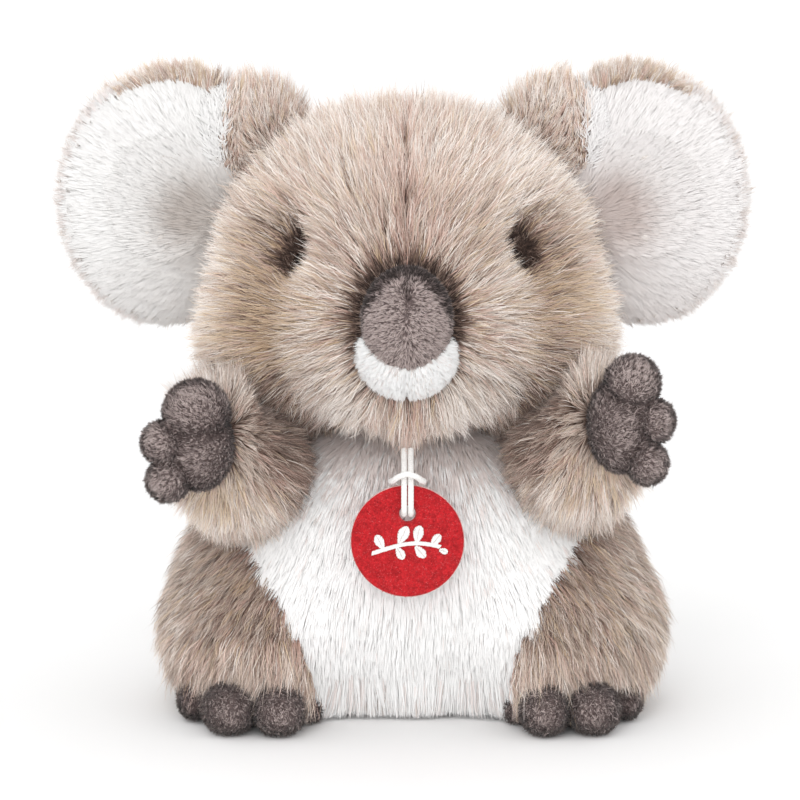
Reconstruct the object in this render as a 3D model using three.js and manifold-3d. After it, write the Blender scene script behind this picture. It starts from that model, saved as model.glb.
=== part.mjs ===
// Plush koala, sitting, about 24 cm tall. Units are millimetres, +Z is up,
// the toy looks along -Y, and its own left side is at +X.
// The origin is on the floor under the middle of the toy.
//
// Outer skins are drawn at the base of the pile, so the long hair stands a
// few millimetres proud of every surface here.

import * as THREE from 'three';
import { mergeVertices } from 'three/addons/utils/BufferGeometryUtils.js';
import Module from 'manifold-3d';

const wasm = await Module();
wasm.setup();

// ---------------------------------------------------------------- dimensions
const GAP = 0.35;               // clearance between neighbouring pieces
const SKIN = 2.6;               // thickness of the plush backing and seam allowance
const BASE_THICK = 2.6;         // flat seat panel

// torso: an egg that spreads into two haunches, with a flat seat
const TORSO_BLEND = 12;
const TORSO = [
  { c: [2, 3, 44], r: [83, 54, 56] },        // belly
  { c: [1, 0, 76], r: [62, 44, 34] },        // chest
  { c: [-50, -12, 28], r: [37, 42, 34] },    // right haunch
  { c: [54, -12, 28], r: [38, 42, 34] },     // left haunch
];
const TORSO_CENTRE = [1, -2, 46];

// head: cranium, two cheeks and a blunt muzzle
const HEAD_BLEND = 12;
const HEAD = [
  { c: [0, 0, 166], r: [65, 50, 51] },       // cranium
  { c: [-36, -11, 139], r: [35, 38, 33] },   // right cheek
  { c: [36, -11, 139], r: [35, 38, 33] },    // left cheek
  { c: [0, -40, 144], r: [36, 30, 31] },     // muzzle
];
const HEAD_CENTRE = [0, -8, 152];

// neck: one ball of stuffing in the sewn neck opening
const NECK = [0, -2, 110];
const NECK_R = 20;

// nose and mouth
const NOSE = { c: [0.3, -69.5, 150.6], r: [15.4, 13.2, 18.4] };
const MOUTH = { c: [0.3, -64.8, 138], r: [16.8, 11.8, 14.8] };

// eyes: domes on a shank with a locking washer behind the face
const EYES = {
  right: { c: [-39.5, -44.5, 169], dir: [-0.50, -0.86, 0.06] },
  left: { c: [40.5, -44.0, 171], dir: [0.50, -0.86, 0.06] },
};
const EYE_R = 4.6;
const SHANK_R = 1.8;
const SHANK_L = 11;
const WASHER_R = 6;
const WASHER_T = 1.4;
const EYE_DIMPLE = { depth: 5, width: 11 };

// ears: dished discs, sewn down the side of the head
const EARS = {
  right: { c: [-88, 7, 187.5], r: [36.5, 9.5, 43.5], turn: 8, hinge: [-56, 8, 184], axis: [-0.4, 0, -0.917] },
  left: { c: [86.5, 7, 188], r: [36, 9.5, 43.5], turn: -8, hinge: [55.5, 8, 184.5], axis: [-0.4, 0, 0.917] },
};
// padded roots of the ears, on the shoulder of the head
const EAR_ROOTS = {
  right: { c: [-58.5, 9, 208.5], r: [21.5, 9, 19.5], tilt: 24 },
  left: { c: [57.5, 9, 209], r: [21.5, 9, 19.5], tilt: -24 },
};
const EAR_DISH = { r: 70, sink: 4.2 };
const EAR_SWING = 15;           // degrees each way

// arms: short stuffed sleeves held up beside the cheeks
const ARMS = {
  right: { s: [-58, -27, 89], m: [-61.5, -43, 98], w: [-64, -57, 107], r: [17.2, 17.2, 12.5] },
  left: { s: [60, -27, 93], m: [63, -43, 102], w: [65.5, -57, 112.5], r: [17.2, 17.0, 12.5] },
};
const ARM_UP = 10;
const HEAD_TURN = 9;
const HEAD_NOD = 7;
const ARM_DOWN = 22;

// paws: palm and finger lobes, [centre, radii]
const PAWS = {
  right: [
    [[-72.8, -73, 106.4], [11.6, 9.5, 15.6]],
    [[-73.6, -75.5, 118.6], [11.4, 8.8, 11.2]],
    [[-85.6, -77, 108], [7.0, 7.6, 7.4]],
    [[-83.6, -77, 94.9], [7.5, 7.8, 7.5]],
  ],
  left: [
    [[76, -73, 114.2], [11.6, 9.5, 17.2]],
    [[79.3, -75.5, 128.8], [9.4, 8.6, 9.8]],
    [[87.4, -77, 115.8], [6.5, 7.6, 7.4]],
    [[84.7, -77, 100.8], [6.9, 7.6, 7.4]],
  ],
};
const PAW_FLEX = 15;

// feet: sole pad and toe lobes, [centre, radii]
const FEET = {
  right: [
    [[-58, -45, 8], [20, 15, 9]],
    [[-77.4, -41, 7.9], [5.8, 10, 7.4]],
    [[-63.6, -61, 8.8], [9.3, 12.5, 9]],
    [[-45.4, -63, 8.9], [9.2, 12.5, 9]],
    [[-35.8, -46, 5.4], [5.2, 8, 5.6]],
  ],
  left: [
    [[61, -45, 8], [20, 15, 9]],
    [[80.8, -41, 7.9], [5.4, 10, 7.4]],
    [[67.6, -61, 8.8], [9.2, 12.5, 9]],
    [[49.9, -63, 8.9], [8.7, 12.5, 9]],
    [[40.6, -46, 5.4], [4.9, 8, 5.6]],
  ],
};
const FOOT_LIFT = 0.5;          // sole above the floor, so the seat carries the toy
const ANKLE = { right: [-58, -40, 9], left: [61, -40, 9] };
const ANKLE_R = 8;
const FOOT_UP = 12;

// tag: a felt disc with one hole, on a loop of white cord
const TAG = { x: 0.5, y: -67, z: 71.2, r: 20.3, t: 2.4, holeZ: 81.2, holeR: 2.8 };
const CORD_D = 2.0;
const CORD_SIDES = 8;
const CORD_X = 1.2;             // half the distance between the two strands
const CORD_ROUTE = [            // x is counted from the middle of the tag
  [-CORD_X, -57.5, 102.6], [-CORD_X, -61.5, 99.8], [-CORD_X, -66.2, 97.4], [-CORD_X, -69.6, 94.0],
  [-CORD_X, -70.2, 89.5], [-CORD_X, -70.0, 85.0], [-CORD_X, -68.9, 82.0], [-CORD_X, -67, 80.9],
  [-CORD_X, -65.1, 82.0], [-1.7, -64.3, 84.6], [-3.0, -64.2, 88.0], [-4.8, -64.4, 91.2],
  [-5.7, -66.0, 93.6], [-5.0, -69.4, 94.9], [-2.8, -72.2, 95.3], [0, -73.0, 95.4],
];

// outline of the white belly panel, seen from the front: [half width, height]
const BELLY = [[33, -6], [35, 12], [39, 30], [48, 50], [60, 68], [62, 84], [50, 100], [34, 112], [0, 122]];

// ------------------------------------------------------------------- helpers
const v3 = (a) => new THREE.Vector3(a[0], a[1], a[2]);

function ellipsoidDistance(p, c, r) {
  const x = (p[0] - c[0]) / r[0], y = (p[1] - c[1]) / r[1], z = (p[2] - c[2]) / r[2];
  const k0 = Math.hypot(x, y, z);
  const k1 = Math.hypot(x / r[0], y / r[1], z / r[2]);
  return k1 < 1e-9 ? -Math.min(...r) : (k0 * (k0 - 1)) / k1;
}

function smoothMin(a, b, k) {
  const h = Math.max(k - Math.abs(a - b), 0) / k;
  return Math.min(a, b) - h * h * k * 0.25;
}

function blendField(list, k) {
  return (p) => list.map((e) => ellipsoidDistance(p, e.c, e.r)).reduce((a, b) => smoothMin(a, b, k));
}

// closed surface where the field equals -inset, found along rays from a centre
function blob(field, centre, inset, around, down) {
  const g = new THREE.SphereGeometry(1, around, down);
  g.rotateX(Math.PI / 2);
  const pos = g.attributes.position;
  for (let i = 0; i < pos.count; i++) {
    const d = new THREE.Vector3().fromBufferAttribute(pos, i).normalize();
    const at = (t) => field([centre[0] + d.x * t, centre[1] + d.y * t, centre[2] + d.z * t]) + inset;
    let hi = 8;
    while (at(hi) < 0 && hi < 300) hi += 4;
    let lo = hi - 8;
    for (let n = 0; n < 40; n++) {
      const mid = (lo + hi) / 2;
      if (at(mid) < 0) lo = mid; else hi = mid;
    }
    pos.setXYZ(i, centre[0] + d.x * lo, centre[1] + d.y * lo, centre[2] + d.z * lo);
  }
  return g;
}

function ellipsoid(c, r, around = 14, down = 9) {
  const g = new THREE.SphereGeometry(1, around, down);
  g.rotateX(Math.PI / 2);
  g.scale(r[0], r[1], r[2]);
  g.translate(c[0], c[1], c[2]);
  return g;
}

function box(lo, hi) {
  const g = new THREE.BoxGeometry(hi[0] - lo[0], hi[1] - lo[1], hi[2] - lo[2]);
  g.translate((lo[0] + hi[0]) / 2, (lo[1] + hi[1]) / 2, (lo[2] + hi[2]) / 2);
  return g;
}

function solid(geometry) {
  let g = geometry.clone();
  g.deleteAttribute('normal');
  g.deleteAttribute('uv');
  g = mergeVertices(g, 1e-4);
  return new wasm.Manifold(new wasm.Mesh({
    numProp: 3,
    vertProperties: new Float32Array(g.attributes.position.array),
    triVerts: new Uint32Array(g.index.array),
  }));
}

const cut = (a, ...tools) => tools.reduce((m, t) => m.subtract(t), a);
const join = (...list) => list.reduce((m, t) => m.add(t));

// the largest of the separate bodies that a cut leaves
function main(m) {
  const parts = m.decompose();
  return parts.reduce((a, b) => (a.volume() > b.volume() ? a : b));
}

function turned(geometry, pivot, axis, degrees) {
  const m = new THREE.Matrix4().makeTranslation(...pivot)
    .multiply(new THREE.Matrix4().makeRotationAxis(v3(axis).normalize(), THREE.MathUtils.degToRad(degrees)))
    .multiply(new THREE.Matrix4().makeTranslation(-pivot[0], -pivot[1], -pivot[2]));
  return geometry.clone().applyMatrix4(m);
}

// everything a shape passes through as it turns
function swept(geometries, pivot, axis, angles) {
  return join(...angles.flatMap((a) => geometries.map((g) => solid(turned(g, pivot, axis, a)))));
}

const group = new THREE.Group();
const LOOK = {
  taupe: { color: 0xb29f92, roughness: 0.95 },
  white: { color: 0xefecea, roughness: 0.95 },
  dark: { color: 0x7b6d6c, roughness: 0.95 },
  fibre: { color: 0xf4f4f2, roughness: 1.0 },
  pellets: { color: 0xd9d4c8, roughness: 0.8 },
  eye: { color: 0x1b1210, roughness: 0.18 },
  washer: { color: 0xe6e6e2, roughness: 0.5 },
  felt: { color: 0xc8262b, roughness: 0.95 },
  cord: { color: 0xf7f7f5, roughness: 0.7 },
};
function add(name, manifold, look) {
  const mesh = main(manifold).getMesh();
  const g = new THREE.BufferGeometry();
  g.setAttribute('position', new THREE.BufferAttribute(new Float32Array(mesh.vertProperties), 3));
  g.setIndex(new THREE.BufferAttribute(new Uint32Array(mesh.triVerts), 1));
  g.computeVertexNormals();
  const m = new THREE.Mesh(g, new THREE.MeshStandardMaterial({ ...LOOK[look], metalness: 0 }));
  m.name = name;
  group.add(m);
}

const above = (z) => solid(box([-200, -200, z], [200, 200, 400]));
const below = (z) => solid(box([-200, -200, -100], [200, 200, z]));

// --------------------------------------------------------------------- torso
const torsoField = blendField(TORSO, TORSO_BLEND);
const torsoOuterG = blob(torsoField, TORSO_CENTRE, 0, 26, 16);
const torsoInnerG = blob(torsoField, TORSO_CENTRE, SKIN, 16, 10);
const torsoFillG = blob(torsoField, TORSO_CENTRE, SKIN + GAP + 0.1, 16, 10);

// ---------------------------------------------------------------------- head
const headBase = blendField(HEAD, HEAD_BLEND);
const headField = (p) => {
  let d = headBase(p);
  for (const e of Object.values(EYES)) {
    const q = Math.hypot(p[0] - e.c[0], p[1] - e.c[1], p[2] - e.c[2]);
    d += EYE_DIMPLE.depth * Math.exp(-(q * q) / (EYE_DIMPLE.width * EYE_DIMPLE.width));
  }
  return d;
};
const headOuterG = blob(headField, HEAD_CENTRE, 0, 26, 16);
const headInnerG = blob(headField, HEAD_CENTRE, SKIN, 18, 11);
const headFillG = blob(headField, HEAD_CENTRE, SKIN + GAP + 0.1, 18, 11);
const headCoarseG = blob(headBase, HEAD_CENTRE, -2.7, 18, 12);
const torsoCoarseG = blob(torsoField, TORSO_CENTRE, -1.3, 18, 12);

// ---------------------------------------------------------------------- arms
function armField(a, extra) {
  const e = [a.s, a.m, a.w].map((c, i) => ({ c, r: [a.r[i] + extra, a.r[i] + extra, a.r[i] + extra] }));
  return blendField(e, 8);
}
const armShapes = {};
for (const side of ['right', 'left']) {
  const a = ARMS[side];
  armShapes[side] = {
    outer: blob(armField(a, 0), a.m, 0, 14, 9),
    inner: blob(armField(a, 0), a.m, SKIN, 10, 7),
    fill: blob(armField(a, 0), a.m, SKIN + GAP + 0.1, 10, 7),
    clear: blob(armField(a, 0), a.m, -1.3, 9, 6),
  };
}

// ------------------------------------------------------------- paws and feet
function lobes(list, grow, around = 12, down = 8) {
  return list.map(([c, r]) => ellipsoid(c, r.map((x) => x + grow), around, down));
}

// torso pieces -----------------------------------------------------------
{
  const neckSocket = solid(ellipsoid(NECK, [NECK_R + 0.9, NECK_R + 0.9, NECK_R + 0.9], 14, 8));
  const tools = [neckSocket];
  for (const side of ['right', 'left']) {
    const a = ARMS[side];
    tools.push(solid(ellipsoid(a.s, [a.r[0] + 0.8, a.r[0] + 0.8, a.r[0] + 0.8], 12, 8)));
    tools.push(swept([armShapes[side].clear], a.s, [1, 0, 0], [-ARM_UP, 4, ARM_DOWN]));
    const [pad, ...toes] = lobes(FEET[side], 0.9);
    for (const g of [pad, toes[0], toes[3]]) tools.push(swept([g], ANKLE[side], [1, 0, 0], [-FOOT_UP, 0]));
    tools.push(solid(toes[1]), solid(toes[2]));
  }
  const outer = solid(torsoOuterG).intersect(above(0));
  const inner = solid(torsoInnerG).intersect(above(BASE_THICK));
  const shell = cut(outer, inner, ...tools);

  // outline of the belly panel, run through the front half of the toy
  const outline = (grow) => {
    const s = new THREE.Shape();
    const pts = [...BELLY.map(([w, z]) => [2 + w + grow, z]), ...BELLY.slice(0, -1).reverse().map(([w, z]) => [2 - w - grow, z])];
    s.moveTo(...pts[0]);
    pts.slice(1).forEach((p) => s.lineTo(...p));
    s.closePath();
    const g = new THREE.ExtrudeGeometry(s, { depth: 100, bevelEnabled: false });
    g.rotateX(Math.PI / 2);          // outline in XZ, depth towards -Y
    g.translate(0, -8, 0);
    return solid(g);
  };
  const seat = BASE_THICK + GAP;
  const walls = shell.intersect(above(seat));
  add('belly_panel', walls.intersect(outline(-GAP / 2)), 'white');
  const rest = walls.subtract(outline(GAP / 2));
  const split = 10;                  // side seams run just behind the middle
  const frontHalf = solid(box([-200, -200, -10], [200, split - GAP / 2, 300]));
  const backHalf = solid(box([-200, split + GAP / 2, -10], [200, 200, 300]));
  const rightHalf = solid(box([-200, -200, -10], [1 - GAP / 2, 200, 300]));
  const leftHalf = solid(box([1 + GAP / 2, -200, -10], [200, 200, 300]));
  add('side_panel_right', rest.intersect(frontHalf).intersect(rightHalf), 'taupe');
  add('side_panel_left', rest.intersect(frontHalf).intersect(leftHalf), 'taupe');
  add('back_panel_right', rest.intersect(backHalf).intersect(rightHalf), 'taupe');
  add('back_panel_left', rest.intersect(backHalf).intersect(leftHalf), 'taupe');
  add('base_panel', outer.intersect(below(BASE_THICK)).subtract(join(...tools.slice(1))), 'white');

  const fill = solid(torsoFillG).intersect(above(BASE_THICK + GAP));
  const bagField = blendField(TORSO, TORSO_BLEND);
  const bagG = blob(bagField, TORSO_CENTRE, 9, 18, 12);
  const bag = cut(solid(bagG).intersect(solid(box([-200, -200, 5], [200, 200, 27]))),
    ...['right', 'left'].map((s) => solid(ellipsoid(ANKLE[s], [34, 34, 30], 12, 8))));
  const bagRoom = cut(solid(blob(bagField, TORSO_CENTRE, 8.4, 18, 12)).intersect(solid(box([-200, -200, 4.6], [200, 200, 27.4]))),
    ...['right', 'left'].map((s) => solid(ellipsoid(ANKLE[s], [33.4, 33.4, 29.4], 12, 8))));
  // a narrow way in for the bag, so that the filling isn't a sealed hollow
  const wayIn = solid(box([-6, 10, 20], [6, 80, 26]));
  add('body_stuffing', cut(fill, ...tools, bagRoom, wayIn), 'fibre');
  add('pellet_bag', bag, 'pellets');
}

// neck -------------------------------------------------------------------
add('neck_stuffing', solid(ellipsoid(NECK, [NECK_R, NECK_R, NECK_R], 14, 8)), 'fibre');

// head pieces --------------------------------------------------------------
{
  const tools = [
    solid(ellipsoid(NECK, [NECK_R + 0.9, NECK_R + 0.9, NECK_R + 0.9], 14, 8)),
    swept([torsoCoarseG], NECK, [1, 0, 0], [-HEAD_NOD, 0, HEAD_NOD]),
    solid(ellipsoid(NOSE.c, NOSE.r.map((x) => x + GAP), 14, 10)),
    solid(ellipsoid(MOUTH.c, MOUTH.r.map((x) => x + GAP), 14, 10)),
  ];
  // room for the raised arms where the head turns and nods towards them
  for (const [side, way] of [['right', 1], ['left', -1]]) {
    const raised = turned(armShapes[side].clear, ARMS[side].s, [1, 0, 0], -ARM_UP);
    const facing = turned(raised, NECK, [0, 0, 1], -way * HEAD_TURN);
    tools.push(solid(turned(facing, NECK, [1, 0, 0], -HEAD_NOD)));
  }
  const eyeTools = [];
  for (const side of ['right', 'left']) {
    const e = EYES[side];
    const d = v3(e.dir).normalize();
    const q = new THREE.Quaternion().setFromUnitVectors(new THREE.Vector3(0, 0, 1), d);
    const place = (g, along) => g.applyQuaternion(q).translate(e.c[0] + d.x * along, e.c[1] + d.y * along, e.c[2] + d.z * along);
    const cyl = (r, l, n = 10) => new THREE.CylinderGeometry(r, r, l, n).rotateX(Math.PI / 2);
    // the seat of the eye in the skin, measured along its axis from the eye's back
    let surface = 6;
    while (headField([e.c[0] + d.x * surface, e.c[1] + d.y * surface, e.c[2] + d.z * surface]) > 0) surface -= 0.05;
    const back = surface + 0.4;
    const dome = new THREE.SphereGeometry(EYE_R, 12, 8).rotateX(Math.PI / 2);
    const cap = solid(place(dome, back + 0.6)).subtract(solid(place(cyl(20, 20), back - 10)));
    const shank = solid(place(cyl(SHANK_R, SHANK_L), back - SHANK_L / 2 + 0.4));
    add(`eye_${side}`, cap.add(shank), 'eye');
    const wz = back - 0.4 - SKIN - 1.6 - WASHER_T / 2;
    const washer = solid(place(cyl(WASHER_R, WASHER_T, 12), wz)).subtract(solid(place(cyl(SHANK_R + 0.35, 6), wz)));
    add(`eye_washer_${side}`, washer, 'washer');
    eyeTools.push(solid(place(cyl(SHANK_R + 0.5, SHANK_L + 2), back - SHANK_L / 2)));
    eyeTools.push(solid(place(cyl(WASHER_R + 0.5, WASHER_T + 1.0, 10), wz)));
    eyeTools.push(solid(place(cyl(EYE_R + 0.4, 8), back + 4 - 0.3)));
  }
  const outer = solid(headOuterG);
  const shell = cut(outer, solid(headInnerG), ...tools, ...eyeTools);
  const halfR = solid(box([-200, -200, 0], [-GAP / 2, 200, 300]));
  const halfL = solid(box([GAP / 2, -200, 0], [200, 200, 300]));
  const front = solid(box([-200, -200, 0], [200, 6 - GAP / 2, 300]));
  const back = solid(box([-200, 6 + GAP / 2, 0], [200, 200, 300]));
  add('face_panel_right', shell.intersect(front).intersect(halfR), 'taupe');
  add('face_panel_left', shell.intersect(front).intersect(halfL), 'taupe');
  add('head_back_panel_right', shell.intersect(back).intersect(halfR), 'taupe');
  add('head_back_panel_left', shell.intersect(back).intersect(halfL), 'taupe');
  add('head_stuffing', cut(solid(headFillG), ...tools, ...eyeTools), 'fibre');

  // nose: a short-pile cup, open at the back, over its own ball of filling
  const nose = solid(ellipsoid(NOSE.c, NOSE.r, 14, 10));
  const noseIn = solid(ellipsoid(NOSE.c, NOSE.r.map((x) => x - 2), 12, 8));
  const noseBack = solid(new THREE.CylinderGeometry(9, 9, 20, 14).translate(NOSE.c[0], NOSE.c[1] + 12, NOSE.c[2]));
  add('nose_cover', cut(nose, noseIn, noseBack), 'dark');
  add('nose_stuffing', solid(ellipsoid(NOSE.c, NOSE.r.map((x) => x - 2 - GAP), 12, 8)), 'fibre');
  const mouth = solid(ellipsoid(MOUTH.c, MOUTH.r, 14, 10));
  add('mouth_patch', mouth.subtract(solid(ellipsoid(NOSE.c, NOSE.r.map((x) => x + GAP), 14, 10))), 'white');
}

// ears ---------------------------------------------------------------------
for (const side of ['right', 'left']) {
  const e = EARS[side];
  const shape = (grow, around, down) => {
    const g = new THREE.SphereGeometry(1, around, down);
    g.rotateX(Math.PI / 2);
    g.scale(e.r[0] + grow, e.r[1] + grow, e.r[2] + grow);
    g.rotateZ(THREE.MathUtils.degToRad(e.turn));
    g.translate(...e.c);
    return g;
  };
  const dishAt = (grow) => {
    const n = new THREE.Vector3(0, -1, 0).applyAxisAngle(new THREE.Vector3(0, 0, 1), THREE.MathUtils.degToRad(e.turn));
    const R = EAR_DISH.r + grow;
    const dist = e.r[1] - EAR_DISH.sink + EAR_DISH.r;
    return solid(ellipsoid([e.c[0] + n.x * dist, e.c[1] + n.y * dist, e.c[2] + n.z * dist], [R, R, R], 20, 14));
  };
  const clear = [
    swept([headCoarseG], e.hinge, e.axis, [-EAR_SWING, -EAR_SWING / 2, 0, EAR_SWING / 2, EAR_SWING]),
  ];
  const outer = solid(shape(0, 18, 12)).subtract(dishAt(0));
  const inner = solid(shape(-2.3, 12, 8)).subtract(dishAt(2.3));
  const shell = cut(outer, inner, ...clear);
  const mid = 1.2;                   // the seam runs just behind the rim
  const plane = (lo, hi) => {
    const g = box([-80, lo, -80], [80, hi, 80]);
    g.rotateZ(THREE.MathUtils.degToRad(e.turn));
    g.translate(...e.c);
    return solid(g);
  };
  add(`ear_front_${side}`, shell.intersect(plane(-40, mid - GAP / 2)), 'white');
  add(`ear_back_${side}`, shell.intersect(plane(mid + GAP / 2, 40)), 'taupe');
  const padding = cut(solid(shape(-2.3 - GAP - 0.15, 12, 8)), dishAt(2.3 + GAP + 0.15), ...clear);
  add(`ear_padding_${side}`, padding, 'fibre');

  // the root is its own padded roll, laid over the inner top of the ear
  const root = EAR_ROOTS[side];
  const roll = ellipsoid([0, 0, 0], root.r, 18, 11);
  roll.rotateY(THREE.MathUtils.degToRad(root.tilt));
  roll.rotateZ(THREE.MathUtils.degToRad(e.turn));
  roll.translate(...root.c);
  add(`ear_root_${side}`, cut(solid(roll), solid(shape(GAP + 0.1, 18, 12)), ...clear), 'taupe');
}

// arms and paws ------------------------------------------------------------
for (const side of ['right', 'left']) {
  const a = ARMS[side];
  const s = armShapes[side];
  const d = v3(a.w).sub(v3(a.s)).normalize();
  const q = new THREE.Quaternion().setFromUnitVectors(new THREE.Vector3(0, 1, 0), d);
  const bore = (r, l, at) => solid(new THREE.CylinderGeometry(r, r, l, 12).applyQuaternion(q).translate(...at));
  const shoulderHole = bore(8, 16, v3(a.s).addScaledVector(d, -a.r[0] + 2).toArray());
  const wristHole = bore(5, 12, v3(a.w).addScaledVector(d, a.r[2] - 2).toArray());
  add(`arm_sleeve_${side}`, cut(solid(s.outer), solid(s.inner), shoulderHole, wristHole), 'taupe');
  add(`arm_stuffing_${side}`, solid(s.fill), 'fibre');

  const room = a.r[2] + 0.9;
  const wristBall = solid(ellipsoid(a.w, [room, room, room], 12, 8));
  const armClear = swept([s.clear], a.w, [0, 0, 1], [-PAW_FLEX, PAW_FLEX]);
  const cover = cut(join(...lobes(PAWS[side], 0).map(solid)), wristBall, armClear);
  const palm = PAWS[side][0];
  const fillR = palm[1].map((x) => x - 2.4);
  const inside = solid(ellipsoid(palm[0], fillR, 10, 6));
  add(`paw_cover_${side}`, cut(cover, inside), 'dark');
  add(`paw_stuffing_${side}`, cut(solid(ellipsoid(palm[0], fillR.map((x) => x - GAP - 0.1), 10, 6)), wristBall, armClear), 'fibre');
}

// feet ---------------------------------------------------------------------
for (const side of ['right', 'left']) {
  const cover = join(...lobes(FEET[side], 0).map(solid)).intersect(above(FOOT_LIFT));
  const pad = FEET[side][0];
  const fillR = [pad[1][0] - 3, pad[1][1] - 3, pad[1][2] - 2.4];
  const inside = solid(ellipsoid(pad[0], fillR, 10, 6));
  const heel = solid(box([pad[0][0] - 7, pad[0][1] + 6, pad[0][2] - 3], [pad[0][0] + 7, pad[0][1] + 30, pad[0][2] + 4]));
  add(`foot_cover_${side}`, cut(cover, inside, heel), 'dark');
  add(`foot_stuffing_${side}`, solid(ellipsoid(pad[0], fillR.map((x) => x - GAP - 0.1), 10, 6)), 'fibre');
}

// tag and its cord ----------------------------------------------------------
{
  const disc = new THREE.CylinderGeometry(TAG.r, TAG.r, TAG.t, 32).translate(TAG.x, TAG.y, 0);
  disc.translate(0, 0, TAG.z);
  const hole = new THREE.CylinderGeometry(TAG.holeR, TAG.holeR, TAG.t * 3, 16).translate(TAG.x, TAG.y, TAG.holeZ);
  add('tag_disc', solid(disc).subtract(solid(hole)), 'felt');

  const pts = CORD_ROUTE.map(([x, y, z]) => new THREE.Vector3(TAG.x + x, y, z));
  const back = CORD_ROUTE.slice(0, -1).reverse().map(([x, y, z]) => new THREE.Vector3(TAG.x - x, y, z));
  const curve = new THREE.CatmullRomCurve3([...pts, ...back], false, 'centripetal');
  const ring = new THREE.Shape();
  for (let i = 0; i < CORD_SIDES; i++) {
    const t = (i / CORD_SIDES) * 2 * Math.PI;
    const x = (CORD_D / 2) * Math.cos(t), y = (CORD_D / 2) * Math.sin(t);
    if (i === 0) ring.moveTo(x, y); else ring.lineTo(x, y);
  }
  ring.closePath();
  const tube = new THREE.ExtrudeGeometry(ring, { steps: 46, bevelEnabled: false, extrudePath: curve });
  add('tag_cord', solid(tube), 'cord');
}

export default group;
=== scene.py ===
import bpy, bmesh, math
import numpy as np
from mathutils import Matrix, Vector, kdtree


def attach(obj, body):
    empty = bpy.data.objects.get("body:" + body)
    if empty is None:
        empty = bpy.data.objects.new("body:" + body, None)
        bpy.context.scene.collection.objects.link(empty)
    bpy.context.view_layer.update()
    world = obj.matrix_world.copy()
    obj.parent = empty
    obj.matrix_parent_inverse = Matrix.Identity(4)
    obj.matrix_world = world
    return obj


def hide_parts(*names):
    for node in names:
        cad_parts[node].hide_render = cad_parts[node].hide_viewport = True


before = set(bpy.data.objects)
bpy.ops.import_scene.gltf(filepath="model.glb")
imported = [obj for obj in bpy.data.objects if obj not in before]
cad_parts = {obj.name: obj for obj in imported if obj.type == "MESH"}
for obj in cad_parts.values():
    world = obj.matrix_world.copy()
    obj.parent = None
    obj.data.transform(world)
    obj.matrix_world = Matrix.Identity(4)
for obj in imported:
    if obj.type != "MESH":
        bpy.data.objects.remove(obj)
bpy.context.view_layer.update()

MM = 0.001
DENSE = 1.0          # share of the strands that is drawn

scene = bpy.context.scene

# --------------------------------------------------------------------------
# camera, at the photo's viewing angle: in front, 8 degrees above level
# --------------------------------------------------------------------------
CAM_D, CAM_E = 1.2, math.radians(8)
cam_data = bpy.data.cameras.new("camera")
cam_data.sensor_width = 36.0
cam_data.lens = 3204.0 / 800 * 36
cam_data.clip_start, cam_data.clip_end = 0.05, 50
camera = bpy.data.objects.new("camera", cam_data)
scene.collection.objects.link(camera)
look = Vector((-0.00215, 0, 0.1124))
back = Vector((0, -math.cos(CAM_E), math.sin(CAM_E)))
camera.location = look + back * CAM_D
camera.rotation_mode = "QUATERNION"
camera.rotation_quaternion = (-back).to_track_quat("-Z", "Y")
scene.camera = camera

# --------------------------------------------------------------------------
# small helpers
# --------------------------------------------------------------------------
def srgb(r, g, b, a=1.0):
    def f(c):
        c /= 255.0
        return c / 12.92 if c <= 0.04045 else ((c + 0.055) / 1.055) ** 2.4
    return (f(r), f(g), f(b), a)


def unit(v):
    return v / np.maximum(np.linalg.norm(v, axis=-1, keepdims=True), 1e-12)


def smooth(x, a, b):
    t = np.clip((x - a) / (b - a), 0, 1)
    return t * t * (3 - 2 * t)


def hash01(i, seed):
    x = np.sin(np.asarray(i, float) * 12.9898 + seed * 78.233) * 43758.5453
    return x - np.floor(x)


def noise3(p, scale, seed=0):
    """Value noise, -1 to 1, smooth over the given distance in mm."""
    q = np.asarray(p, float) / scale + seed * 17.31
    i = np.floor(q).astype(np.int64)
    f = q - i
    f = f * f * (3 - 2 * f)
    def h(dx, dy, dz):
        n = (i[:, 0] + dx) * 73856093 ^ (i[:, 1] + dy) * 19349663 ^ (i[:, 2] + dz) * 83492791 ^ (seed * 2654435 + 977)
        n = (n ^ (n >> 13)) * 1274126177
        n = (n ^ (n >> 16)) & 0xFFFFF
        return n / float(0xFFFFF) * 2 - 1
    x0 = h(0, 0, 0) * (1 - f[:, 0]) + h(1, 0, 0) * f[:, 0]
    x1 = h(0, 1, 0) * (1 - f[:, 0]) + h(1, 1, 0) * f[:, 0]
    x2 = h(0, 0, 1) * (1 - f[:, 0]) + h(1, 0, 1) * f[:, 0]
    x3 = h(0, 1, 1) * (1 - f[:, 0]) + h(1, 1, 1) * f[:, 0]
    y0 = x0 * (1 - f[:, 1]) + x1 * f[:, 1]
    y1 = x2 * (1 - f[:, 1]) + x3 * f[:, 1]
    return y0 * (1 - f[:, 2]) + y1 * f[:, 2]


def ell(p, c, r):
    q = (p - np.asarray(c, float)) / np.asarray(r, float)
    k0 = np.linalg.norm(q, axis=-1)
    k1 = np.linalg.norm(q / np.asarray(r, float), axis=-1)
    return np.where(k1 < 1e-9, -min(r), k0 * (k0 - 1) / np.maximum(k1, 1e-9))


def smin(a, b, k):
    h = np.maximum(k - np.abs(a - b), 0) / k
    return np.minimum(a, b) - h * h * k * 0.25


def blend_field(parts, k):
    def f(p):
        d = None
        for c, r in parts:
            e = ell(p, c, r)
            d = e if d is None else smin(d, e, k)
        return d
    return f


def gradient(f, p, h=0.2):
    g = np.empty_like(p)
    for i in range(3):
        o = np.zeros(3); o[i] = h
        g[:, i] = f(p + o) - f(p - o)
    return unit(g)


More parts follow.
